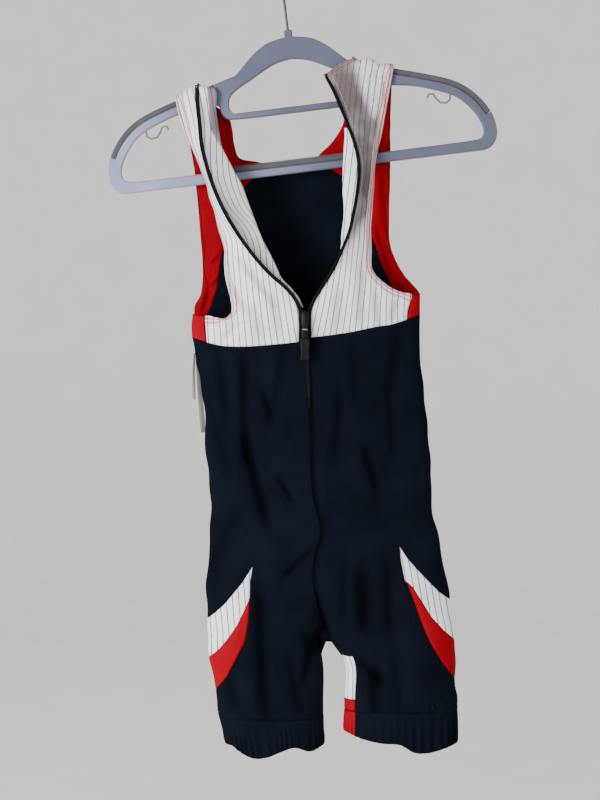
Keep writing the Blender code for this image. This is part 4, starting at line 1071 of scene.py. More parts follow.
def moulded(name, colour, pale, rough, scale=60.0, grain=0.00008, lit=None, **constants):
    """Moulded plastic or rubber: a little mottled, with a fine grain and dull rubbed patches.

    With `lit`, painted light: the colour goes over to that lighter one towards the lower left."""
    look = Look(name, rough, **constants)
    cloud = look.nodes.noise(look.place, scale, 4.0, 0.6)
    fine = look.nodes.noise(look.place, 1500.0, 2.0)
    rubbed = look.nodes.noise(look.place, 9.0, 5.0, 0.7).below(0.47, 0.1)
    base = look.nodes.mix(cloud.below(0.5, 0.2), pale, colour)
    if lit is not None:
        # Painted light: lighter towards the lower left, where the light falls.
        x = look.nodes.add("ShaderNodeSeparateXYZ", {}, {0: look.place})
        z = Value(look.nodes, x.socket.node.outputs[2])
        base = look.nodes.mix((x * 0.4 + z * 0.6).below(-0.165, 0.06), base, lit)
    worn = tuple(min(1, channel) for channel in times(pale, 1.25))
    look.link("Base Color", look.nodes.mix(rubbed * 0.25, base, worn))
    look.link("Roughness", rough + (cloud - 0.5) * 0.2 + rubbed * 0.08)
    look.bump(fine + cloud * 0.6, grain)
    return look.material


def metal(name, colour, rough):
    look = Look(name, rough, Metallic=1.0)
    drawn = look.nodes.noise(look.place, 700.0, 3.0)
    look.link("Base Color", look.nodes.mix(drawn, colour, times(colour, 0.7)))
    look.link("Roughness", rough + (drawn - 0.5) * 0.25)
    look.bump(drawn, 0.00003)
    return look.material


STAGE = (0.93, 0.92, 0.875)
THREADS = {
    "red_thread": (0.3, 0.008, 0.014),
    "black_thread": (0.003, 0.004, 0.007),
    "dark_red_thread": (0.05, 0.002, 0.003),
    "deep_black_thread": (0.0005, 0.0006, 0.001),
    "pale_thread": (0.55, 0.55, 0.54),
}


@functools.lru_cache
def finish(kind):
    """The materials, each made once."""
    if kind in THREADS:
        return thread(kind, THREADS[kind])
    scene = bpy.context.scene
    sizes, black, red = scene.suit_cloth, tuple(scene.suit_cloth.black), tuple(scene.suit_cloth.red)
    tape, lilac = tuple(scene.suit_zip.black), tuple(scene.suit_hanger.lilac)
    grip = tuple(scene.suit_hanger.grip)
    make, name, *values, constants = {
        "black": (plain_cloth, "matte_black_stretch", black, times(black, 1.7), 0.85, 0.0007, 0.45,
                  {"Specular_IOR_Level": 0.02}),
        "red": (plain_cloth, "red_stretch", red, times(red, 1.12), 0.74, 0.0009, 0.7,
                {"Specular_IOR_Level": 0.04}),
        "white": (striped_cloth, "white_pinstripe", sizes, {}),
        "tape": (plain_cloth, "black_zip_tape", tape, (0.006, 0.0065, 0.008), 0.8, 0.0006, 0.3,
                 {"Specular_IOR_Level": 0.05}),
        "teeth": (moulded, "black_zip_teeth", (0.002, 0.002, 0.0025), (0.006, 0.006, 0.007), 0.45,
                  {"Specular_IOR_Level": 0.2}),
        "slider": (moulded, "black_slider_coat", (0.0012, 0.0012, 0.0015), (0.003, 0.003, 0.0035),
                   0.42, 200.0, 0.00004, {"Specular_IOR_Level": 0.16}),
        "pull": (moulded, "dark_pull_plastic", (0.0016, 0.0018, 0.0024), (0.004, 0.0044, 0.0055),
                 0.5, 120.0, 0.00006, {"Specular_IOR_Level": 0.16}),
        "steel": (metal, "bright_steel", (0.62, 0.61, 0.6), 0.3, {}),
        "dark_wire": (metal, "dark_steel_wire", (0.07, 0.062, 0.058), 0.4, {}),
        # The hanger's plastic has painted light, lighter towards its lower left.
        "hanger": (moulded, "lilac_hanger_plastic", lilac, times(lilac, 1.1), 0.5, 35.0, 0.00008,
                   {"lit": times(lilac, 3.4), "Specular_IOR_Level": 0.3}),
        "clear": (moulded, "grey_moulded_hook", (0.10, 0.105, 0.12), (0.14, 0.145, 0.165), 0.4,
                  80.0, 0.00005, {}),
        "grip": (moulded, "soft_grip_rubber", grip, (0.06, 0.062, 0.068), 0.85, 90.0, 0.0001, {}),
        "ribbon": (plain_cloth, "blank_label_ribbon", (0.62, 0.6, 0.58), (0.7, 0.69, 0.67), 0.6,
                   0.0006, 0.4, {}),
        "stage": (moulded, "pale_stage", times(STAGE, 0.985), STAGE, 0.95, 1.2, 0.0002, {}),
    }[kind]
    return make(name, *values, **constants)


def body_pieces(tag):
    """Blocks of coarse cells of each cut of one half: rows to the band, then the bands, then below."""
    grid = body_grid(tag)
    front, last = SIDE_COLUMN, 2 * SIDE_COLUMN
    top, white, red = np.cumsum([ROWS_TO_BAND, ROWS_WHITE, ROWS_RED])
    end = red + 3
    blocks = {
        "front_body": [(0, top, 0, front), (top, red, 0, TIP_COLUMN), (red, end, 0, front)],
        "back_body": [(0, top, front, last)],
        "back_leg": [(red, end, front, last)],
        "band_white": [(top, white, TIP_COLUMN, last)],
        "band_red": [(white, red, TIP_COLUMN, last)],
    }
    masks = {kind: grid.mask(*found) for kind, found in blocks.items()}
    if tag == "l":
        masks["inseam_white"] = grid.mask((end - 2, end - 1, 0, 2))
        masks["inseam_red"] = grid.mask((end - 1, end, 0, 2))
        masks["front_body"] &= ~(masks["inseam_white"] | masks["inseam_red"])
    return grid, masks


def fold_shade(x, down, hemmed):
    """The folds of the black front lie in shadow, and so does the cloth beside its centre seam."""
    beside = np.exp(-(((x - smooth(CENTRE, down)[..., 0] - 1.6) / 2.8) ** 2))
    beside = beside * clamp((down - 460) / 60) * clamp((788 - down) / 20)
    return np.clip(creases(x, down, BODY_CREASES) * 0.42 + beside * 0.7, 0, 0.9)


class SUIT_OT_black_body(bpy.types.Operator):
    """Black front, back and leg cuts"""

    bl_idname = "suit.black_body"
    bl_label = "Black body"

    def execute(self, context):
        for tag in ("r", "l"):
            grid, masks = body_pieces(tag)
            for kind in ("front_body", "back_body", "back_leg"):
                node = f"{kind}_{tag}"
                shade = fold_shade if kind == "front_body" else None
                cloth(f"black_{node}", grid, masks[kind], finish("black"), [node],
                      shade=shade, runs_on=HALVES[tag].cuff_top - 1)
        return {"FINISHED"}


class SUIT_OT_gusset(bpy.types.Operator):
    """Black strip behind the lower centre seam, down to the crotch"""

    bl_idname = "suit.gusset"
    bl_label = "Gusset"

    def execute(self, context):
        downs = np.linspace(700, 785.5, 24)
        middle = smooth(CENTRE, downs)[:, 0]
        left = middle - np.interp(downs, (700, 740, 772, 785.5), (3, 5.5, 8.5, 13.5))
        right = middle + np.interp(downs, (700, 740, 772, 785.5), (3, 4.5, 4.0, 3.5))
        share = np.linspace(0, 1, 8)
        x = left[:, None] + (right - left)[:, None] * share
        y = np.broadcast_to(0.6 * np.sin(share * math.pi), x.shape)
        sag = 3.0 * np.sin(share * math.pi / 2) * clamp((downs[:, None] - 770) / 15)
        points = np.stack([x, -y, -(downs[:, None] + sag)], axis=-1)
        grid = Grid(points, np.tile((0.0, -1.0, 0.0), (*x.shape, 1)))
        cloth("black_gusset", grid, grid.whole(), finish("black"), [])
        return {"FINISHED"}


class SUIT_OT_leg_bands(bpy.types.Operator):
    """White and red bands round the legs"""

    bl_idname = "suit.leg_bands"
    bl_label = "Leg bands"

    def execute(self, context):
        for tag in ("r", "l"):
            grid, masks = body_pieces(tag)
            for kind, mask in masks.items():
                if kind.startswith(("band", "inseam")):
                    colour = kind.split("_")[1]
                    node = f"{kind}_{tag}"
                    cloth(f"{colour}_{node}", grid, mask, finish(colour), [node])
        return {"FINISHED"}


class SUIT_OT_cuffs(bpy.types.Operator):
    """Gathered elastic leg hems"""

    bl_idname = "suit.cuffs"
    bl_label = "Gathered hems"

    def execute(self, context):
        sizes = context.scene.suit_cloth
        around, levels = CUFF_AROUND, np.linspace(0, 1, CUFF_LEVELS)
        angle = np.arange(around + 1) * 2 * np.pi / around
        shares, behind = (1 - np.cos(angle)) / 2, angle[:, None] > np.pi
        for (tag, half), begins, seed in zip(HALVES.items(), (0.45, 0.12), (21, 22)):
            top = half.cuff_top
            level_top = body_point(half, shares, np.full(around + 1, top), False)
            low = smooth(half.hem, level_top[:, 0])[..., 0]
            random = np.random.default_rng(seed)
            shift = sum(
                random.uniform(0.2, 0.5) * np.sin(k * angle + random.uniform(0, 6.3))
                for k in range(2, 9)
            )
            waves = np.sin(sizes.gathers * angle + shift * 2.6)
            sharp = np.sign(waves) * np.abs(waves) ** 1.4
            strength = 0.75 + 0.2 * np.sin(3 * angle + 1) + 0.2 * np.sin(11 * angle + shift)
            lines, ways = [], []
            for level in levels:
                down = top + 0.1 + (low - top - 0.1) * level
                back, front = (body_point(half, shares, down, side) for side in (True, False))
                ring = np.where(behind, back, front)
                ahead = np.roll(ring[:-1], -1, axis=0) - np.roll(ring[:-1], 1, axis=0)
                out = ring[:-1] - ring[:-1].mean(axis=0)
                out[:, 2] = 0
                way = unit(np.cross(ahead, (0, 0, 1)))
                way = way * np.sign((way * out).sum(axis=1))[:, None]
                way = np.vstack([way, way[:1]])
                swell = np.interp(level, (0, begins, 0.7, 0.85, 0.95, 1), (0, 0.25, 1, 1, 0.8, 0.5))
                lines.append(ring + way * (1.25 * swell * strength * sharp + 0.3 * swell)[:, None])
                ways.append(way)
            points, normals = np.array(lines)[:, :-1], np.array(ways)[:, :-1]
            rim = (1 - levels) * CUFF_HEIGHT
            turn = clamp(1 - rim / CUFF_TURN)[:, None, None] ** 2
            rim = np.tile(rim[:, None], (1, around))
            outer = points - normals * TURN_DEPTH * turn
            inner = outer - normals * sizes.wall / MM * (1 - CUFF_THINNING * turn)
            gaps = np.linalg.norm(np.diff(points, axis=1, append=points[:, :1]), axis=-1)
            uv = np.stack([np.cumsum(gaps, axis=1), -outer[..., 2]], axis=-1)
            quads = ring_quads(len(levels), around)[..., [0, 3, 2, 1]]
            facing = facing_of(outer.reshape(-1, 3)[quads])
            if (facing * normals[:-1]).sum() < 0:
                quads = quads[..., ::-1]
            # The left leg's inner seam carries its red block down through the hem.
            red = (points[10, :, 0] < RED_CUFF_X) & (tag == "l")
            for colour, chosen, stands_for in (("black", ~red, [f"cuff_{tag}"]), ("red", red, [])):
                if not chosen.any():
                    continue
                used, corners = np.unique(quads[:, chosen], return_inverse=True)
                whole, faces = closed_wall(
                    outer.reshape(-1, 3)[used], inner.reshape(-1, 3)[used], corners.reshape(-1, 4)
                )
                floats = {"rim": np.tile(rim.ravel()[used], 2), "hem": np.full(len(whole), NO_HEM)}
                laid = np.tile(uv.reshape(-1, 2)[used], (2, 1))
                made = mesh_object(f"{colour}_cuff_{tag}", whole, faces, laid, floats)
                dress(made, finish(colour), stands_for)
        return {"FINISHED"}


def front_shade(x, down, hemmed):
    """The white front's folds hold a soft shadow."""
    return np.clip(creases(x, down, YOKE_CREASES) * 0.34, 0, 0.42)


def strap_fold_shade(x, down, hemmed):
    """Painted shade in the red straps' folds."""
    return np.clip(creases(x, down, RED_CREASES) * 0.45, 0, 0.6)


def left_strap_shade(x, down, hemmed):
    """Painted shade on the left strap, tinted by the red cloth behind it, up to its hem and down to the
    chest.
    """
    downs = (125, 150, 186, 205, 270, 308, 335, 355)
    edge = np.interp(down, downs, (65, 69, 84, 104, 104, 74, 58, 44))
    inner, top = clamp((edge - x) / 13 + 0.5), clamp((362 - down) / 60)
    strap = np.maximum(inner * np.where(hemmed < 9, 0.5, 1.0), 0.22) * top
    return np.maximum(strap, front_shade(x, down, hemmed))


def flap_shade(x, down, hemmed):
    """The upper flap turns over along a line, past which its inner side carries painted shade; painted
    shadow also lies near the zip edge lower down.
    """
    fold = np.interp(down, (140, 160, 204, 222, 226, 229), (-107.5, -106, -101.5, -91, -60, 99))
    edge = np.interp(down, *rows(RIGHT_YOKE)[::-1, 3:5].T)
    shadow = clamp(1.2 - (x - edge) / 20) * np.clip((down - 250) / 90, 0, 0.5)
    return np.maximum(clamp((x - fold) / 1.2 + 0.5) * 0.85, shadow)


class SUIT_OT_white_front(bpy.types.Operator):
    """White striped fronts, their flap and facing, and the red blocks under the arms"""

    bl_idname = "suit.white_front"
    bl_label = "White front"

    def execute(self, context):
        for tag, extra in (("r", "zip_flap_r"), ("l", "zip_facing_l")):
            grid, look, shoulder = yoke_grid(tag), finish("white"), yoke_grid(tag).n_yoke - 1
            front = grid.mask((0, shoulder, 0, 5), (shoulder, -1, 0, grid.stop - 1))
            shade = left_strap_shade if tag == "l" else front_shade
            cloth(f"white_front_yoke_{tag}", grid, front, look, [f"front_yoke_{tag}"],
                  hem=armhole(tag), shade=shade)
            inner = grid.mask((grid.flap_rows[0], grid.flap_rows[-1] + 1, 5, 7))
            cloth(f"white_{extra}", grid, inner, look, [extra],
                  shade=flap_shade if tag == "r" else None)
            side = side_grid(tag)
            cloth(f"red_side_{tag}", side, side.whole(), finish("red"), [f"side_{tag}"])
        return {"FINISHED"}


def armhole(tag):
    """The open armhole edge of the white front."""
    grid = yoke_grid(tag)
    return grid.edge(column=0, first=grid.lines[0][2], last=grid.lines[0][-1] - 6)


class SUIT_OT_back(bpy.types.Operator):
    """Black middle and red straps of the upper back"""

    bl_idname = "suit.upper_back"
    bl_label = "Upper back"

    def execute(self, context):
        for part, colour, node, rests_on, shade in (
            ("middle", "black", "back_upper", ["back_strap_r", "back_strap_l"], None),
            ("r", "red", "back_strap_r", ["grip_r"], strap_fold_shade),
            ("l", "red", "back_strap_l", ["grip_l"], strap_fold_shade),
        ):
            grid = back_grids()[part]
            cloth(f"{colour}_{node}", grid, grid.whole(), finish(colour), [node],
                  shade=shade)
        return {"FINISHED"}


def strip(name, path, normals, width, thick, lift, look, stands_for, crown=0.35):
    """A woven strip lying along a path, with rounded edges, as a closed mesh."""
    path = np.asarray(path, float)
    known = np.concatenate([[0], np.cumsum(np.linalg.norm(np.diff(path, axis=0), axis=1))])
    at = np.linspace(0, known[-1], max(4, int(known[-1] / 2.0)))
    width = np.interp(at, known, np.broadcast_to(width, len(path)))[:, None]
    path, normals = hermite(path, known, at), unit(hermite(np.asarray(normals, float), known, at))
    side = unit(np.cross(unit(np.gradient(path, axis=0)), normals))
    section = (
        (-0.5, 0.5), (-0.47, 0.85), (-0.25, 1.0), (0.0, 1.0 + crown), (0.25, 1.0), (0.47, 0.85),
        (0.5, 0.5), (0.47, 0.1), (0.0, 0.0), (-0.47, 0.1),
    )
    rings = [path + side * width * x + normals * (lift + thick * y) for x, y in section]
    points = np.array(rings).transpose(1, 0, 2)
    count, around = len(path), len(section)
    first = np.arange(around)
    caps = [
        [ring[k], ring[k + 1], ring[-k - 2], ring[-k - 1]][::turned]
        for ring, turned in ((first, 1), (first + (count - 1) * around, -1))
        for k in range(around // 2 - 1)
    ]
    quads = np.vstack([ring_quads(count, around).reshape(-1, 4), np.array(caps)])
    flat = points.reshape(-1, 3)
    a, b, c, d = (flat[quads[:, k]] for k in range(4))
    volume = (np.cross(b - a, c - a) * a).sum() + (np.cross(c - a, d - a) * a).sum()
    if volume < 0:
        quads = quads[:, ::-1]
    over = np.tile([x for x, _ in section], (count, 1)) * width
    uv = np.stack([over, np.tile(at[:, None], (1, around))], -1)
    made = mesh_object(name, flat, quads, uv.reshape(-1, 2), {"rim": np.full(len(flat), 9.0)})
    dress(made, look, stands_for)
    return path, normals, side


def tape_path(tag):
    """The zip half along the front's edge, down to the slider: points, normals and widths."""
    (grid, normals), count = yoke_grid(tag).coarse, yoke_grid(tag).n_yoke
    foot = ((2.5, -25.2, -445), (2.4, -25.6, -432), (1.8, -26.0, -420))
    if tag == "l":
        foot = ((9.2, -25.2, -445), (9.5, -25.6, -432), (9.8, -26.0, -420))
    edge = grid[3:count, 5].copy()
    edge[:, 0] += np.interp(-edge[:, 2], (380, 420), (0.6, 3.0)) * HALVES[tag].way
    facing = np.vstack([np.tile((0.0, -1.0, 0.0), (3, 1)), unit(normals[3:count, 5])])
    facing[:, 1] -= 0.4
    widths = (4.8, 4.2, 4.4) if tag == "r" else (3.8, 3.8, 4.4)
    path = np.vstack([foot, edge])
    return path, unit(facing), np.interp(-path[:, 2], (150, 400, 446), widths)


class SUIT_OT_zip(bpy.types.Operator):
    """Zip tapes, their teeth and stops, and the closed zip under the slider"""

    bl_idname = "suit.zip"
    bl_label = "Zip"

    def execute(self, context):
        sizes = context.scene.suit_zip
        tree = repeat_tree("Zip teeth", "thread")
        chains = []
        for tag in ("r", "l"):
            path, normals, width = tape_path(tag)
            path, normals, side = strip(
                f"black_tape_{tag}", path, normals, width, 0.9, 0.9, finish("tape"),
                [f"zip_tape_{tag}"],
            )
            inner = HALVES[tag].way * (-1 if side[:, 0].mean() < 0 else 1)
            offset = np.interp(-path[:, 2], (150, 400, 446), (0.6, 0.9, 1.6))[:, None]
            chains.append((path + side * offset * inner + normals * 2.15, normals))
            top, up = path[-1], normals[-1]
            ends = np.array([top + up * 2.2, top + up * 2.2 - (0, 0, 2.6)])
            repeat_along(f"zip_stop_{tag}", [(ends, [up, up])], tree, finish("steel"),
                         {"Pitch": 2.0, "Width": 2.6, "Height": 1.6, "Length": 2.0})
        given = {"Pitch": sizes.tooth_pitch / MM, "Width": sizes.tooth_width / MM,
                 "Height": 1.3, "Length": 1.0}
        repeat_along("zip_teeth", chains, tree, finish("teeth"), given)
        downs = np.linspace(447.5, 520, 24)
        depth = smooth(RIGHT_SECTIONS, downs)[:, 1]
        path = np.stack([smooth(CENTRE, downs)[:, 0], -depth, -downs], axis=-1)
        facing = np.tile((0.0, -1.0, 0.0), (len(path), 1))
        width = np.interp(downs, (447, 520), (7.6, 2.8))
        strip("black_zip_closed", path, facing, width, 0.9, 0.6, finish("tape"),
              ["zip_closed"], 0.5)
        keep = downs < 508
        closed = [((path + facing * 1.95)[keep], facing[keep])]
        repeat_along("zip_teeth_closed", closed, tree, finish("teeth"),
                     {**given, "Width": 2.6})
        return {"FINISHED"}


def rounded(outline, cut=0.28, times=2):
    """An outline with its corners cut round."""
    points = np.array(outline, float)
    for _ in range(times):
        ahead = np.roll(points, -1, axis=0)
        corners = [points + (ahead - points) * cut, ahead + (points - ahead) * cut]
        points = np.stack(corners, 1).reshape(-1, 2)
    return points


def domed(name, outline, layers, look, stands_for, body="suit", shape=None):
    """A plate from an outline in x and down: layers of (inset, y) from back to front."""
    outline = rounded(outline)
    ahead, behind = np.roll(outline, -1, 0) - outline, outline - np.roll(outline, 1, 0)
    normal = unit(unit(ahead) + unit(behind)) @ np.array([[0.0, 1.0], [-1.0, 0.0]])
    if (normal * (outline - outline.mean(axis=0))).sum() < 0:
        normal = -normal
    rings = []
    for inset, y in layers:
        ring = outline - normal * inset
        depth = np.full(len(ring), float(y)) if shape is None else shape(ring, y)
        rings.append(np.stack([ring[:, 0], depth, -ring[:, 1]], axis=-1))
    points = np.vstack(rings) * MM
    count = len(outline)
    faces = []
    for layer in range(len(layers) - 1):
        for k in range(count):
            a, b = layer * count + k, layer * count + (k + 1) % count
            faces.append((a, b, b + count, a + count))
    # Each end is closed by faces from side to side, as the outline is alike on left and right.
    right = outline[:, 0] > outline[:, 0].mean()
    first = next(k for k in range(count) if right[k] and not right[k - 1])
    for start in (0, (len(layers) - 1) * count):
        for k in range(count // 2 - 1):
            ends = (first + k, first + k + 1, first - 2 - k, first - 1 - k)
            faces.append(tuple(start + end % count for end in ends))
    mesh = bpy.data.meshes.new(name)
    mesh.from_pydata([tuple(point) for point in points], [], faces)
    mesh.validate()
    outward(mesh)
    mesh.shade_smooth()
    mesh.set_sharp_from_angle(angle=math.radians(50))
    return dress(place(name, mesh), look, stands_for, body)


def outward(mesh):
    work = bmesh.new()
    work.from_mesh(mesh)
    bmesh.ops.recalc_face_normals(work, faces=work.faces)
    if work.calc_volume(signed=True) < 0:
        bmesh.ops.reverse_faces(work, faces=work.faces)
    work.to_mesh(mesh)
    work.free()


# Outlines of the slider and its pull: x from the slider's middle, down.
SLIDER_X = 5.6
SLIDER = ((-3.6, 411), (0, 408.6), (3.6, 411), (4.4, 416), (3.5, 431), (-3.5, 431), (-4.4, 416))
PULL_NECK = ((-3.2, 430.0), (3.2, 430.0), (3.7, 434), (3.9, 441.4), (-3.9, 441.4), (-3.7, 434))
PULL_GRIP = (
    (-4.6, 440.6), (4.6, 440.6), (5.2, 444), (5.1, 450), (4.3, 456), (4.5, 461), (5.4, 463.4),
    (5.4, 466), (-5.4, 466), (-5.4, 463.4), (-4.5, 461), (-4.3, 456), (-5.1, 450), (-5.2, 444),
)


def moved(outline):
    """An outline set on the slider's middle."""
    return [(SLIDER_X + x, down) for x, down in outline]


class SUIT_OT_slider(bpy.types.Operator):
    """Zip slider with its bridge, and the moulded pull"""

    bl_idname = "suit.slider"
    bl_label = "Slider and pull"

    def execute(self, context):
        layers = ((0.9, -28.9), (0.2, -29.2), (0.0, -30.0), (0.2, -31.2), (0.8, -31.8), (1.6, -32.1))
        domed("slider_body", moved(SLIDER), layers, finish("slider"), ["zip_slider"])
        arch = ((-1.5, 411.6), (1.5, 411.6), (1.5, 426), (-1.5, 426))

        def arched(ring, y):
            return y - 2.2 * clamp(1 - ((ring[:, 1] - 418.8) / 7.6) ** 2) ** 0.5

        layers = ((0.25, -31.4), (0.0, -31.6), (0.0, -32.0), (0.3, -32.3))
        domed("slider_bridge", moved(arch), layers, finish("slider"), [], shape=arched)
        layers = ((0.5, -32.6), (0.0, -33.0), (0.0, -34.0), (0.5, -34.6), (1.1, -34.8))
        domed("pull_neck", moved(PULL_NECK), layers, finish("pull"), [], "pull")

        def waisted(ring, y):
            down = ring[:, 1]
            bar = np.exp(-(((down - 464.6) / 1.5) ** 2)) + np.exp(-(((down - 442) / 2.0) ** 2))
            dish = 0.5 * clamp(1 - ((down - 453) / 8) ** 2)
            return np.where(y < -33.5, y - 0.7 * bar + dish, y)

        layers = ((0.5, -32.4), (0.0, -32.8), (0.0, -34.0), (0.35, -34.7), (1.0, -35.0),
                  (1.8, -35.0), (2.6, -34.8))
        domed("pull_grip", moved(PULL_GRIP), layers, finish("pull"), ["pull"],
              "pull", waisted)
        tree = repeat_tree("Pull ridges", "thread")
        across = [
            (np.array([(SLIDER_X + x, -34.7, -down) for x in (-2.6, 2.6)]), [(0, -1, 0)] * 2)
            for down in (446.5, 449.5, 452.5, 455.5, 458.5)
        ]
        repeat_along("pull_ridges", across, tree, finish("pull"),
                     {"Pitch": 1.3, "Width": 0.9, "Height": 0.9, "Length": 2.0}, "pull")
        pin = ((-3.2, 430.1), (3.2, 430.1), (3.2, 432.1), (-3.2, 432.1))
        layers = ((0.3, -32.9), (0.0, -33.2), (0.0, -34.4), (0.4, -34.9))
        domed("pull_pin", moved(pin), layers, finish("steel"), [], "pull")
        return {"FINISHED"}


class SUIT_OT_stitching(bpy.types.Operator):
    """Rows of stitches along hems and seams"""

    bl_idname = "suit.stitching"
    bl_label = "Stitching"

    def execute(self, context):
        sizes = context.scene.suit_cloth
        tree = repeat_tree("Stitch row", "thread")
        pitch = sizes.stitch_pitch / MM
        given = {"Pitch": pitch, "Width": 0.45, "Height": 0.42, "Length": pitch * 0.78}
        bold = {"Pitch": pitch, "Width": 1.15, "Height": 0.7, "Length": pitch * 0.95}
        piece = bpy.data.objects
        red, pale, dark, black, bare = [], [], [], [], []
        for tag, half in HALVES.items():
            way, yoke, grid = half.way, piece[f"white_front_yoke_{tag}"], yoke_grid(tag)
            for distance in (2.8, 7.6):
                red.append(stitch_row(yoke, armhole(tag), distance, (way, 0, -0.2)))
            zip_edge = grid.edge(5, grid.lines[0][1], grid.lines[0][grid.n_yoke - 1])
            pale.append(stitch_row(yoke, zip_edge, 6.4 if tag == "r" else 5.6, (-way, 0, 0)))
        grid = yoke_grid("l")
        top, line = grid.lines[0][grid.n_yoke - 1], grid.lines[1]
        neck = np.vstack([
            grid.points[top, line[5] : line[3] : -1], grid.edge(3, top, grid.lines[0][-2])
        ])
        for distance in (2.4, 6.4):
            red.append(stitch_row(piece["white_front_yoke_l"], neck, distance, (0.3, 0, -1)))
        for tag, half in HALVES.items():
            way, strap, grid = half.way, piece[f"red_back_strap_{tag}"], back_grids()[tag]
            outer = grid.points[:, 0 if tag == "r" else -1]
            inner = grid.points[grid.lines[0][10] :, -1 if tag == "r" else 0]
            for distance in (9.0, 3.0):
                dark.append(stitch_row(strap, outer, distance, (way, 0, 0)))
            dark.append(stitch_row(strap, inner, 6.0, (-way, 0, 0)))
            # The same rows show on the inner face, which is seen from the front.
            bare.append(stitch_row(strap, outer - (0, 4, 0), 9.5, (way, 0, 0)))
            bare.append(stitch_row(strap, inner - (0, 4, 0), 6.0, (-way, 0, 0)))
        upper, neckline = piece["black_back_upper"], back_grids()["middle"].points[-1]
        for distance in (3.0, 8.0):
            black.append(stitch_row(upper, neckline, distance, (0, 0, -1)))
        deep = [stitch_row(upper, neckline - (0, 4, 0), 9.0, (0, 0, -1))]
        for tag in HALVES:
            grid = body_grid(tag)
            seam = grid.points[0, 2 : grid.lines[1][SIDE_COLUMN]]
            black.append(stitch_row(piece[f"black_front_body_{tag}"], seam, 2.6, (0, 0, -1)))
        for name, paths, look, shape in (
            ("red_stitches", red, "red_thread", bold),
            ("inner_red_stitches", bare, "dark_red_thread", bold),
            ("inner_black_stitches", deep, "deep_black_thread", bold),
            ("pale_stitches", pale, "pale_thread", given),
            ("dark_red_stitches", dark, "dark_red_thread", given),
            ("black_stitches", black, "black_thread", given),
        ):
            repeat_along(name, paths, tree, finish(look), shape)
        return {"FINISHED"}


# The label's two leaves: down, x of the front edge and of the back edge.
LABEL_LONG = (
    (458, -121.2, -119.0), (482, -119.6, -116.2), (505, -118.2, -114.0), (528, -116.4, -111.6),
    (548, -114.6, -110.4),
)
LABEL_SHORT = (
    (457, -122.6, -120.4), (474, -124.0, -122.4), (492, -124.4, -122.0), (510, -124.0, -121.4),
)


class SUIT_OT_labels(bpy.types.Operator):
    """Blank folded ribbon in the side seam"""

    bl_idname = "suit.labels"
    bl_label = "Blank label"

    def execute(self, context):
        for name, table, front, back in (
            ("label_long", LABEL_LONG, -6, 15), ("label_short", LABEL_SHORT, -8, 12)
        ):
            lines = []
            for down, x_front, x_back in table:
                share = np.linspace(0, 1, 4)
                sway = 0.5 * np.sin(share * math.pi) * np.sin((down - 457) / 22.0)
                x = x_front + (x_back - x_front) * share + sway
                y = front + (back - front) * share
                lines.append(np.stack([x, y, np.full(4, -float(down))], -1))
            points = np.array(lines)
            normals = grid_normals(points, np.tile((-1.0, 0.0, 0.0), (*points.shape[:2], 1)))
            grid = Grid(points, normals, step=1.5)
            cloth(f"ribbon_{name}", grid, grid.whole(), finish("ribbon"), [name])
        return {"FINISHED"}


TILT = math.radians(7.0)  # the hanger's right end hangs higher
HANGER_MIDDLE = (-1.7, 186.6)  # world x and down of the hanger frame's zero


def on_hanger(points):
    """From the hanger's own upright frame to the suit's, in millimetres."""
    x, y, z = np.asarray(points, float).T
    cos, sin = math.cos(TILT), math.sin(TILT)
    turned = [HANGER_MIDDLE[0] + x * cos - z * sin, y, -HANGER_MIDDLE[1] + x * sin + z * cos]
    return np.stack(turned, axis=-1)


class SUIT_OT_hanger(bpy.types.Operator):
    """Finishes of the hanger, its soft strips and hooks, with ribs on the strips"""

    bl_idname = "suit.hanger"
    bl_label = "Hanger"

    def execute(self, context):
        nodes = frame["nodes"]
        for name, kind in (
            ("hanger", "hanger"), ("grip_r", "grip"), ("grip_l", "grip"), ("grip_bar", "grip"),
            ("strap_hook_r", "clear"), ("strap_hook_l", "clear"), ("wire_hook", "dark_wire"),
        ):
            materials = nodes[name].data.materials
            materials.clear()
            materials.append(finish(kind))
        tree = repeat_tree("Grip ribs", "block")
        path = on_hanger([(x, 0.0, -47.0) for x in np.linspace(-79, 79, 40)])
        facing = np.tile((0.0, 1.0, 0.0), (len(path), 1))
        repeat_along("grip_bar_ribs", [(path, facing)], tree, finish("grip"),
                     {"Pitch": 2.6, "Width": 1.3, "Height": 6.8, "Length": 1.2})
        return {"FINISHED"}


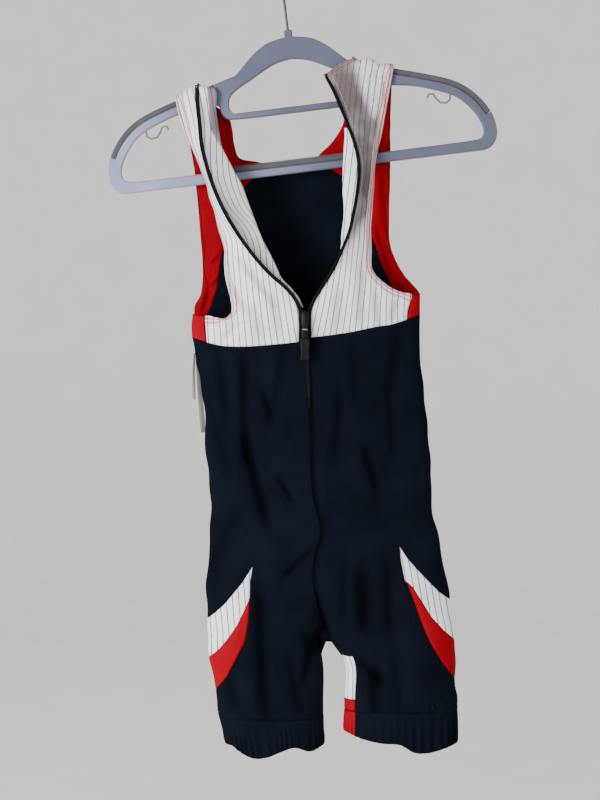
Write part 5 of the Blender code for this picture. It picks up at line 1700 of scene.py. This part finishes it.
class SUIT_OT_stage(bpy.types.Operator):
    """Pale round stage, soft studio light and the camera"""

    bl_idname = "suit.stage"
    bl_label = "Stage"

    def execute(self, context):
        stage = context.scene.suit_stage
        # The floor's profile in metres: radius, z.
        profile = [
            (0.001, -1.25), (2.0, -1.25), (3.6, -1.25), (4.3, -1.13), (4.8, -0.7), (5.0, 0.0), (5.0, 1.5)
        ]
        around = 96
        angle = 2 * np.pi * np.arange(around) / around
        circle = np.stack([np.cos(angle), np.sin(angle)], axis=-1)
        points = [np.c_[circle * radius, np.full(around, z)] / MM for radius, z in profile]
        quads = ring_quads(len(profile), around).reshape(-1, 4)
        made = mesh_object("stage_floor", np.vstack(points), quads[:, ::-1])
        made.data.materials.append(finish("stage"))
        middle = Vector((0.0, 0.0, stage.view_height))
        for name, where, size, watts in (
            ("key_light", (-2.0, -1.9, -0.45), 1.3, stage.key),
            ("fill_light", (2.3, -2.2, -0.1), 2.0, stage.fill),
            ("back_light", (-0.6, 2.3, 1.2), 1.6, stage.back),
        ):
            lamp = bpy.data.lights.new(name, "AREA")
            lamp.energy, lamp.size = watts, size
            placed = place(name, lamp)
            placed.location = where
            placed.rotation_euler = (middle - Vector(where)).to_track_quat("-Z", "Y").to_euler()
        world = bpy.data.worlds.new("pale_room")
        world.use_nodes = True
        shade = world.node_tree.nodes["Background"]
        shade.inputs["Color"].default_value = (*stage.room, 1)
        shade.inputs["Strength"].default_value = stage.room_strength
        context.scene.world = world
        camera = bpy.data.cameras.new("front_camera")
        camera.lens = camera.sensor_width * stage.distance / stage.view_size
        placed = place("front_camera", camera)
        placed.location = (0.0, -stage.distance - 0.015, stage.view_height)
        placed.rotation_euler = (math.pi / 2, 0.0, 0.0)
        context.scene.camera = placed
        return {"FINISHED"}


def colour(label, about, value):
    return FloatVectorProperty(
        name=label, description=about, subtype="COLOR", size=3, min=0, max=1, default=value
    )


def length(label, about, value):
    return FloatProperty(
        name=label, description=about, subtype="DISTANCE", unit="LENGTH", default=value
    )


def power(label, about, value):
    return FloatProperty(name=label, description=about, unit="POWER", default=value)


class SuitCloth(bpy.types.PropertyGroup):
    wall: length("Cloth", "Thickness of the cloth", 0.0011)
    hem: length("Hem", "Width of the doubled armhole hem", 0.0096)
    stripe_pitch: length("Stripe pitch", "Distance between the grey lines", 0.0072)
    stripe_width: length("Stripe width", "Width of a grey line", 0.0011)
    stitch_pitch: length("Stitch pitch", "Distance between stitches", 0.0024)
    gathers: IntProperty(name="Gathers", description="Gathers round a leg's hem", default=40)
    white: colour("White", "White cloth", (0.82, 0.84, 0.85))
    black: colour("Black", "Black cloth", (0.0023, 0.0036, 0.0066))
    red: colour("Red", "Red cloth", (0.25, 0.0003, 0.0065))


class SuitZip(bpy.types.PropertyGroup):
    tooth_pitch: length("Tooth pitch", "Distance between zip teeth", 0.0017)
    tooth_width: length("Tooth width", "Width of a zip tooth", 0.0024)
    black: colour("Tape", "Zip tape", (0.002, 0.0022, 0.003))


class SuitHanger(bpy.types.PropertyGroup):
    lilac: colour("Plastic", "Hanger plastic", (0.075, 0.083, 0.128))
    grip: colour("Strips", "Soft strips on the hanger", (0.045, 0.047, 0.052))


class SuitStage(bpy.types.PropertyGroup):
    distance: length("Camera distance", "From the camera to the cloth", 2.0)
    view_height: length("View height", "Height of the camera and the picture's middle", -0.5107)
    view_size: length("View size", "Height of the picture at the cloth", 0.912)
    key: power("Key", "Power of the key light", 120.0)
    fill: power("Fill", "Power of the fill light", 20.0)
    back: power("Back", "Power of the back light", 14.0)
    room: colour("Room", "Colour of the room's light", (0.82, 0.83, 0.85))
    room_strength: FloatProperty(
        name="Room strength", description="Strength of the room's light", default=0.9
    )


class SUIT_PT_panel(bpy.types.Panel):
    bl_label = "Race suit"
    bl_idname = "SUIT_PT_panel"
    bl_space_type = "VIEW_3D"
    bl_region_type = "UI"
    bl_category = "Suit"

    def draw(self, context):
        layout = self.layout
        for group in GROUPS:
            settings = getattr(context.scene, group)
            box = layout.box()
            for key in settings.__annotations__:
                box.prop(settings, key)
        for operator in OPERATORS:
            layout.operator(operator.bl_idname)


GROUPS = {
    "suit_cloth": SuitCloth, "suit_zip": SuitZip, "suit_hanger": SuitHanger, "suit_stage": SuitStage
}
OPERATORS = (
    SUIT_OT_stage, SUIT_OT_black_body, SUIT_OT_gusset, SUIT_OT_leg_bands, SUIT_OT_cuffs,
    SUIT_OT_white_front, SUIT_OT_back, SUIT_OT_zip, SUIT_OT_slider, SUIT_OT_stitching,
    SUIT_OT_labels, SUIT_OT_hanger,
)


def register():
    for group in GROUPS.values():
        bpy.utils.register_class(group)
    for name, group in GROUPS.items():
        setattr(bpy.types.Scene, name, PointerProperty(type=group))
    for operator in OPERATORS:
        bpy.utils.register_class(operator)
    bpy.utils.register_class(SUIT_PT_panel)


def unregister():
    bpy.utils.unregister_class(SUIT_PT_panel)
    for operator in reversed(OPERATORS):
        bpy.utils.unregister_class(operator)
    for name, group in GROUPS.items():
        delattr(bpy.types.Scene, name)
        bpy.utils.unregister_class(group)


def main():
    register()
    for operator in OPERATORS:
        group, name = operator.bl_idname.split(".")
        getattr(getattr(bpy.ops, group), name)()
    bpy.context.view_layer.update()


if __name__ == "__main__":
    main()
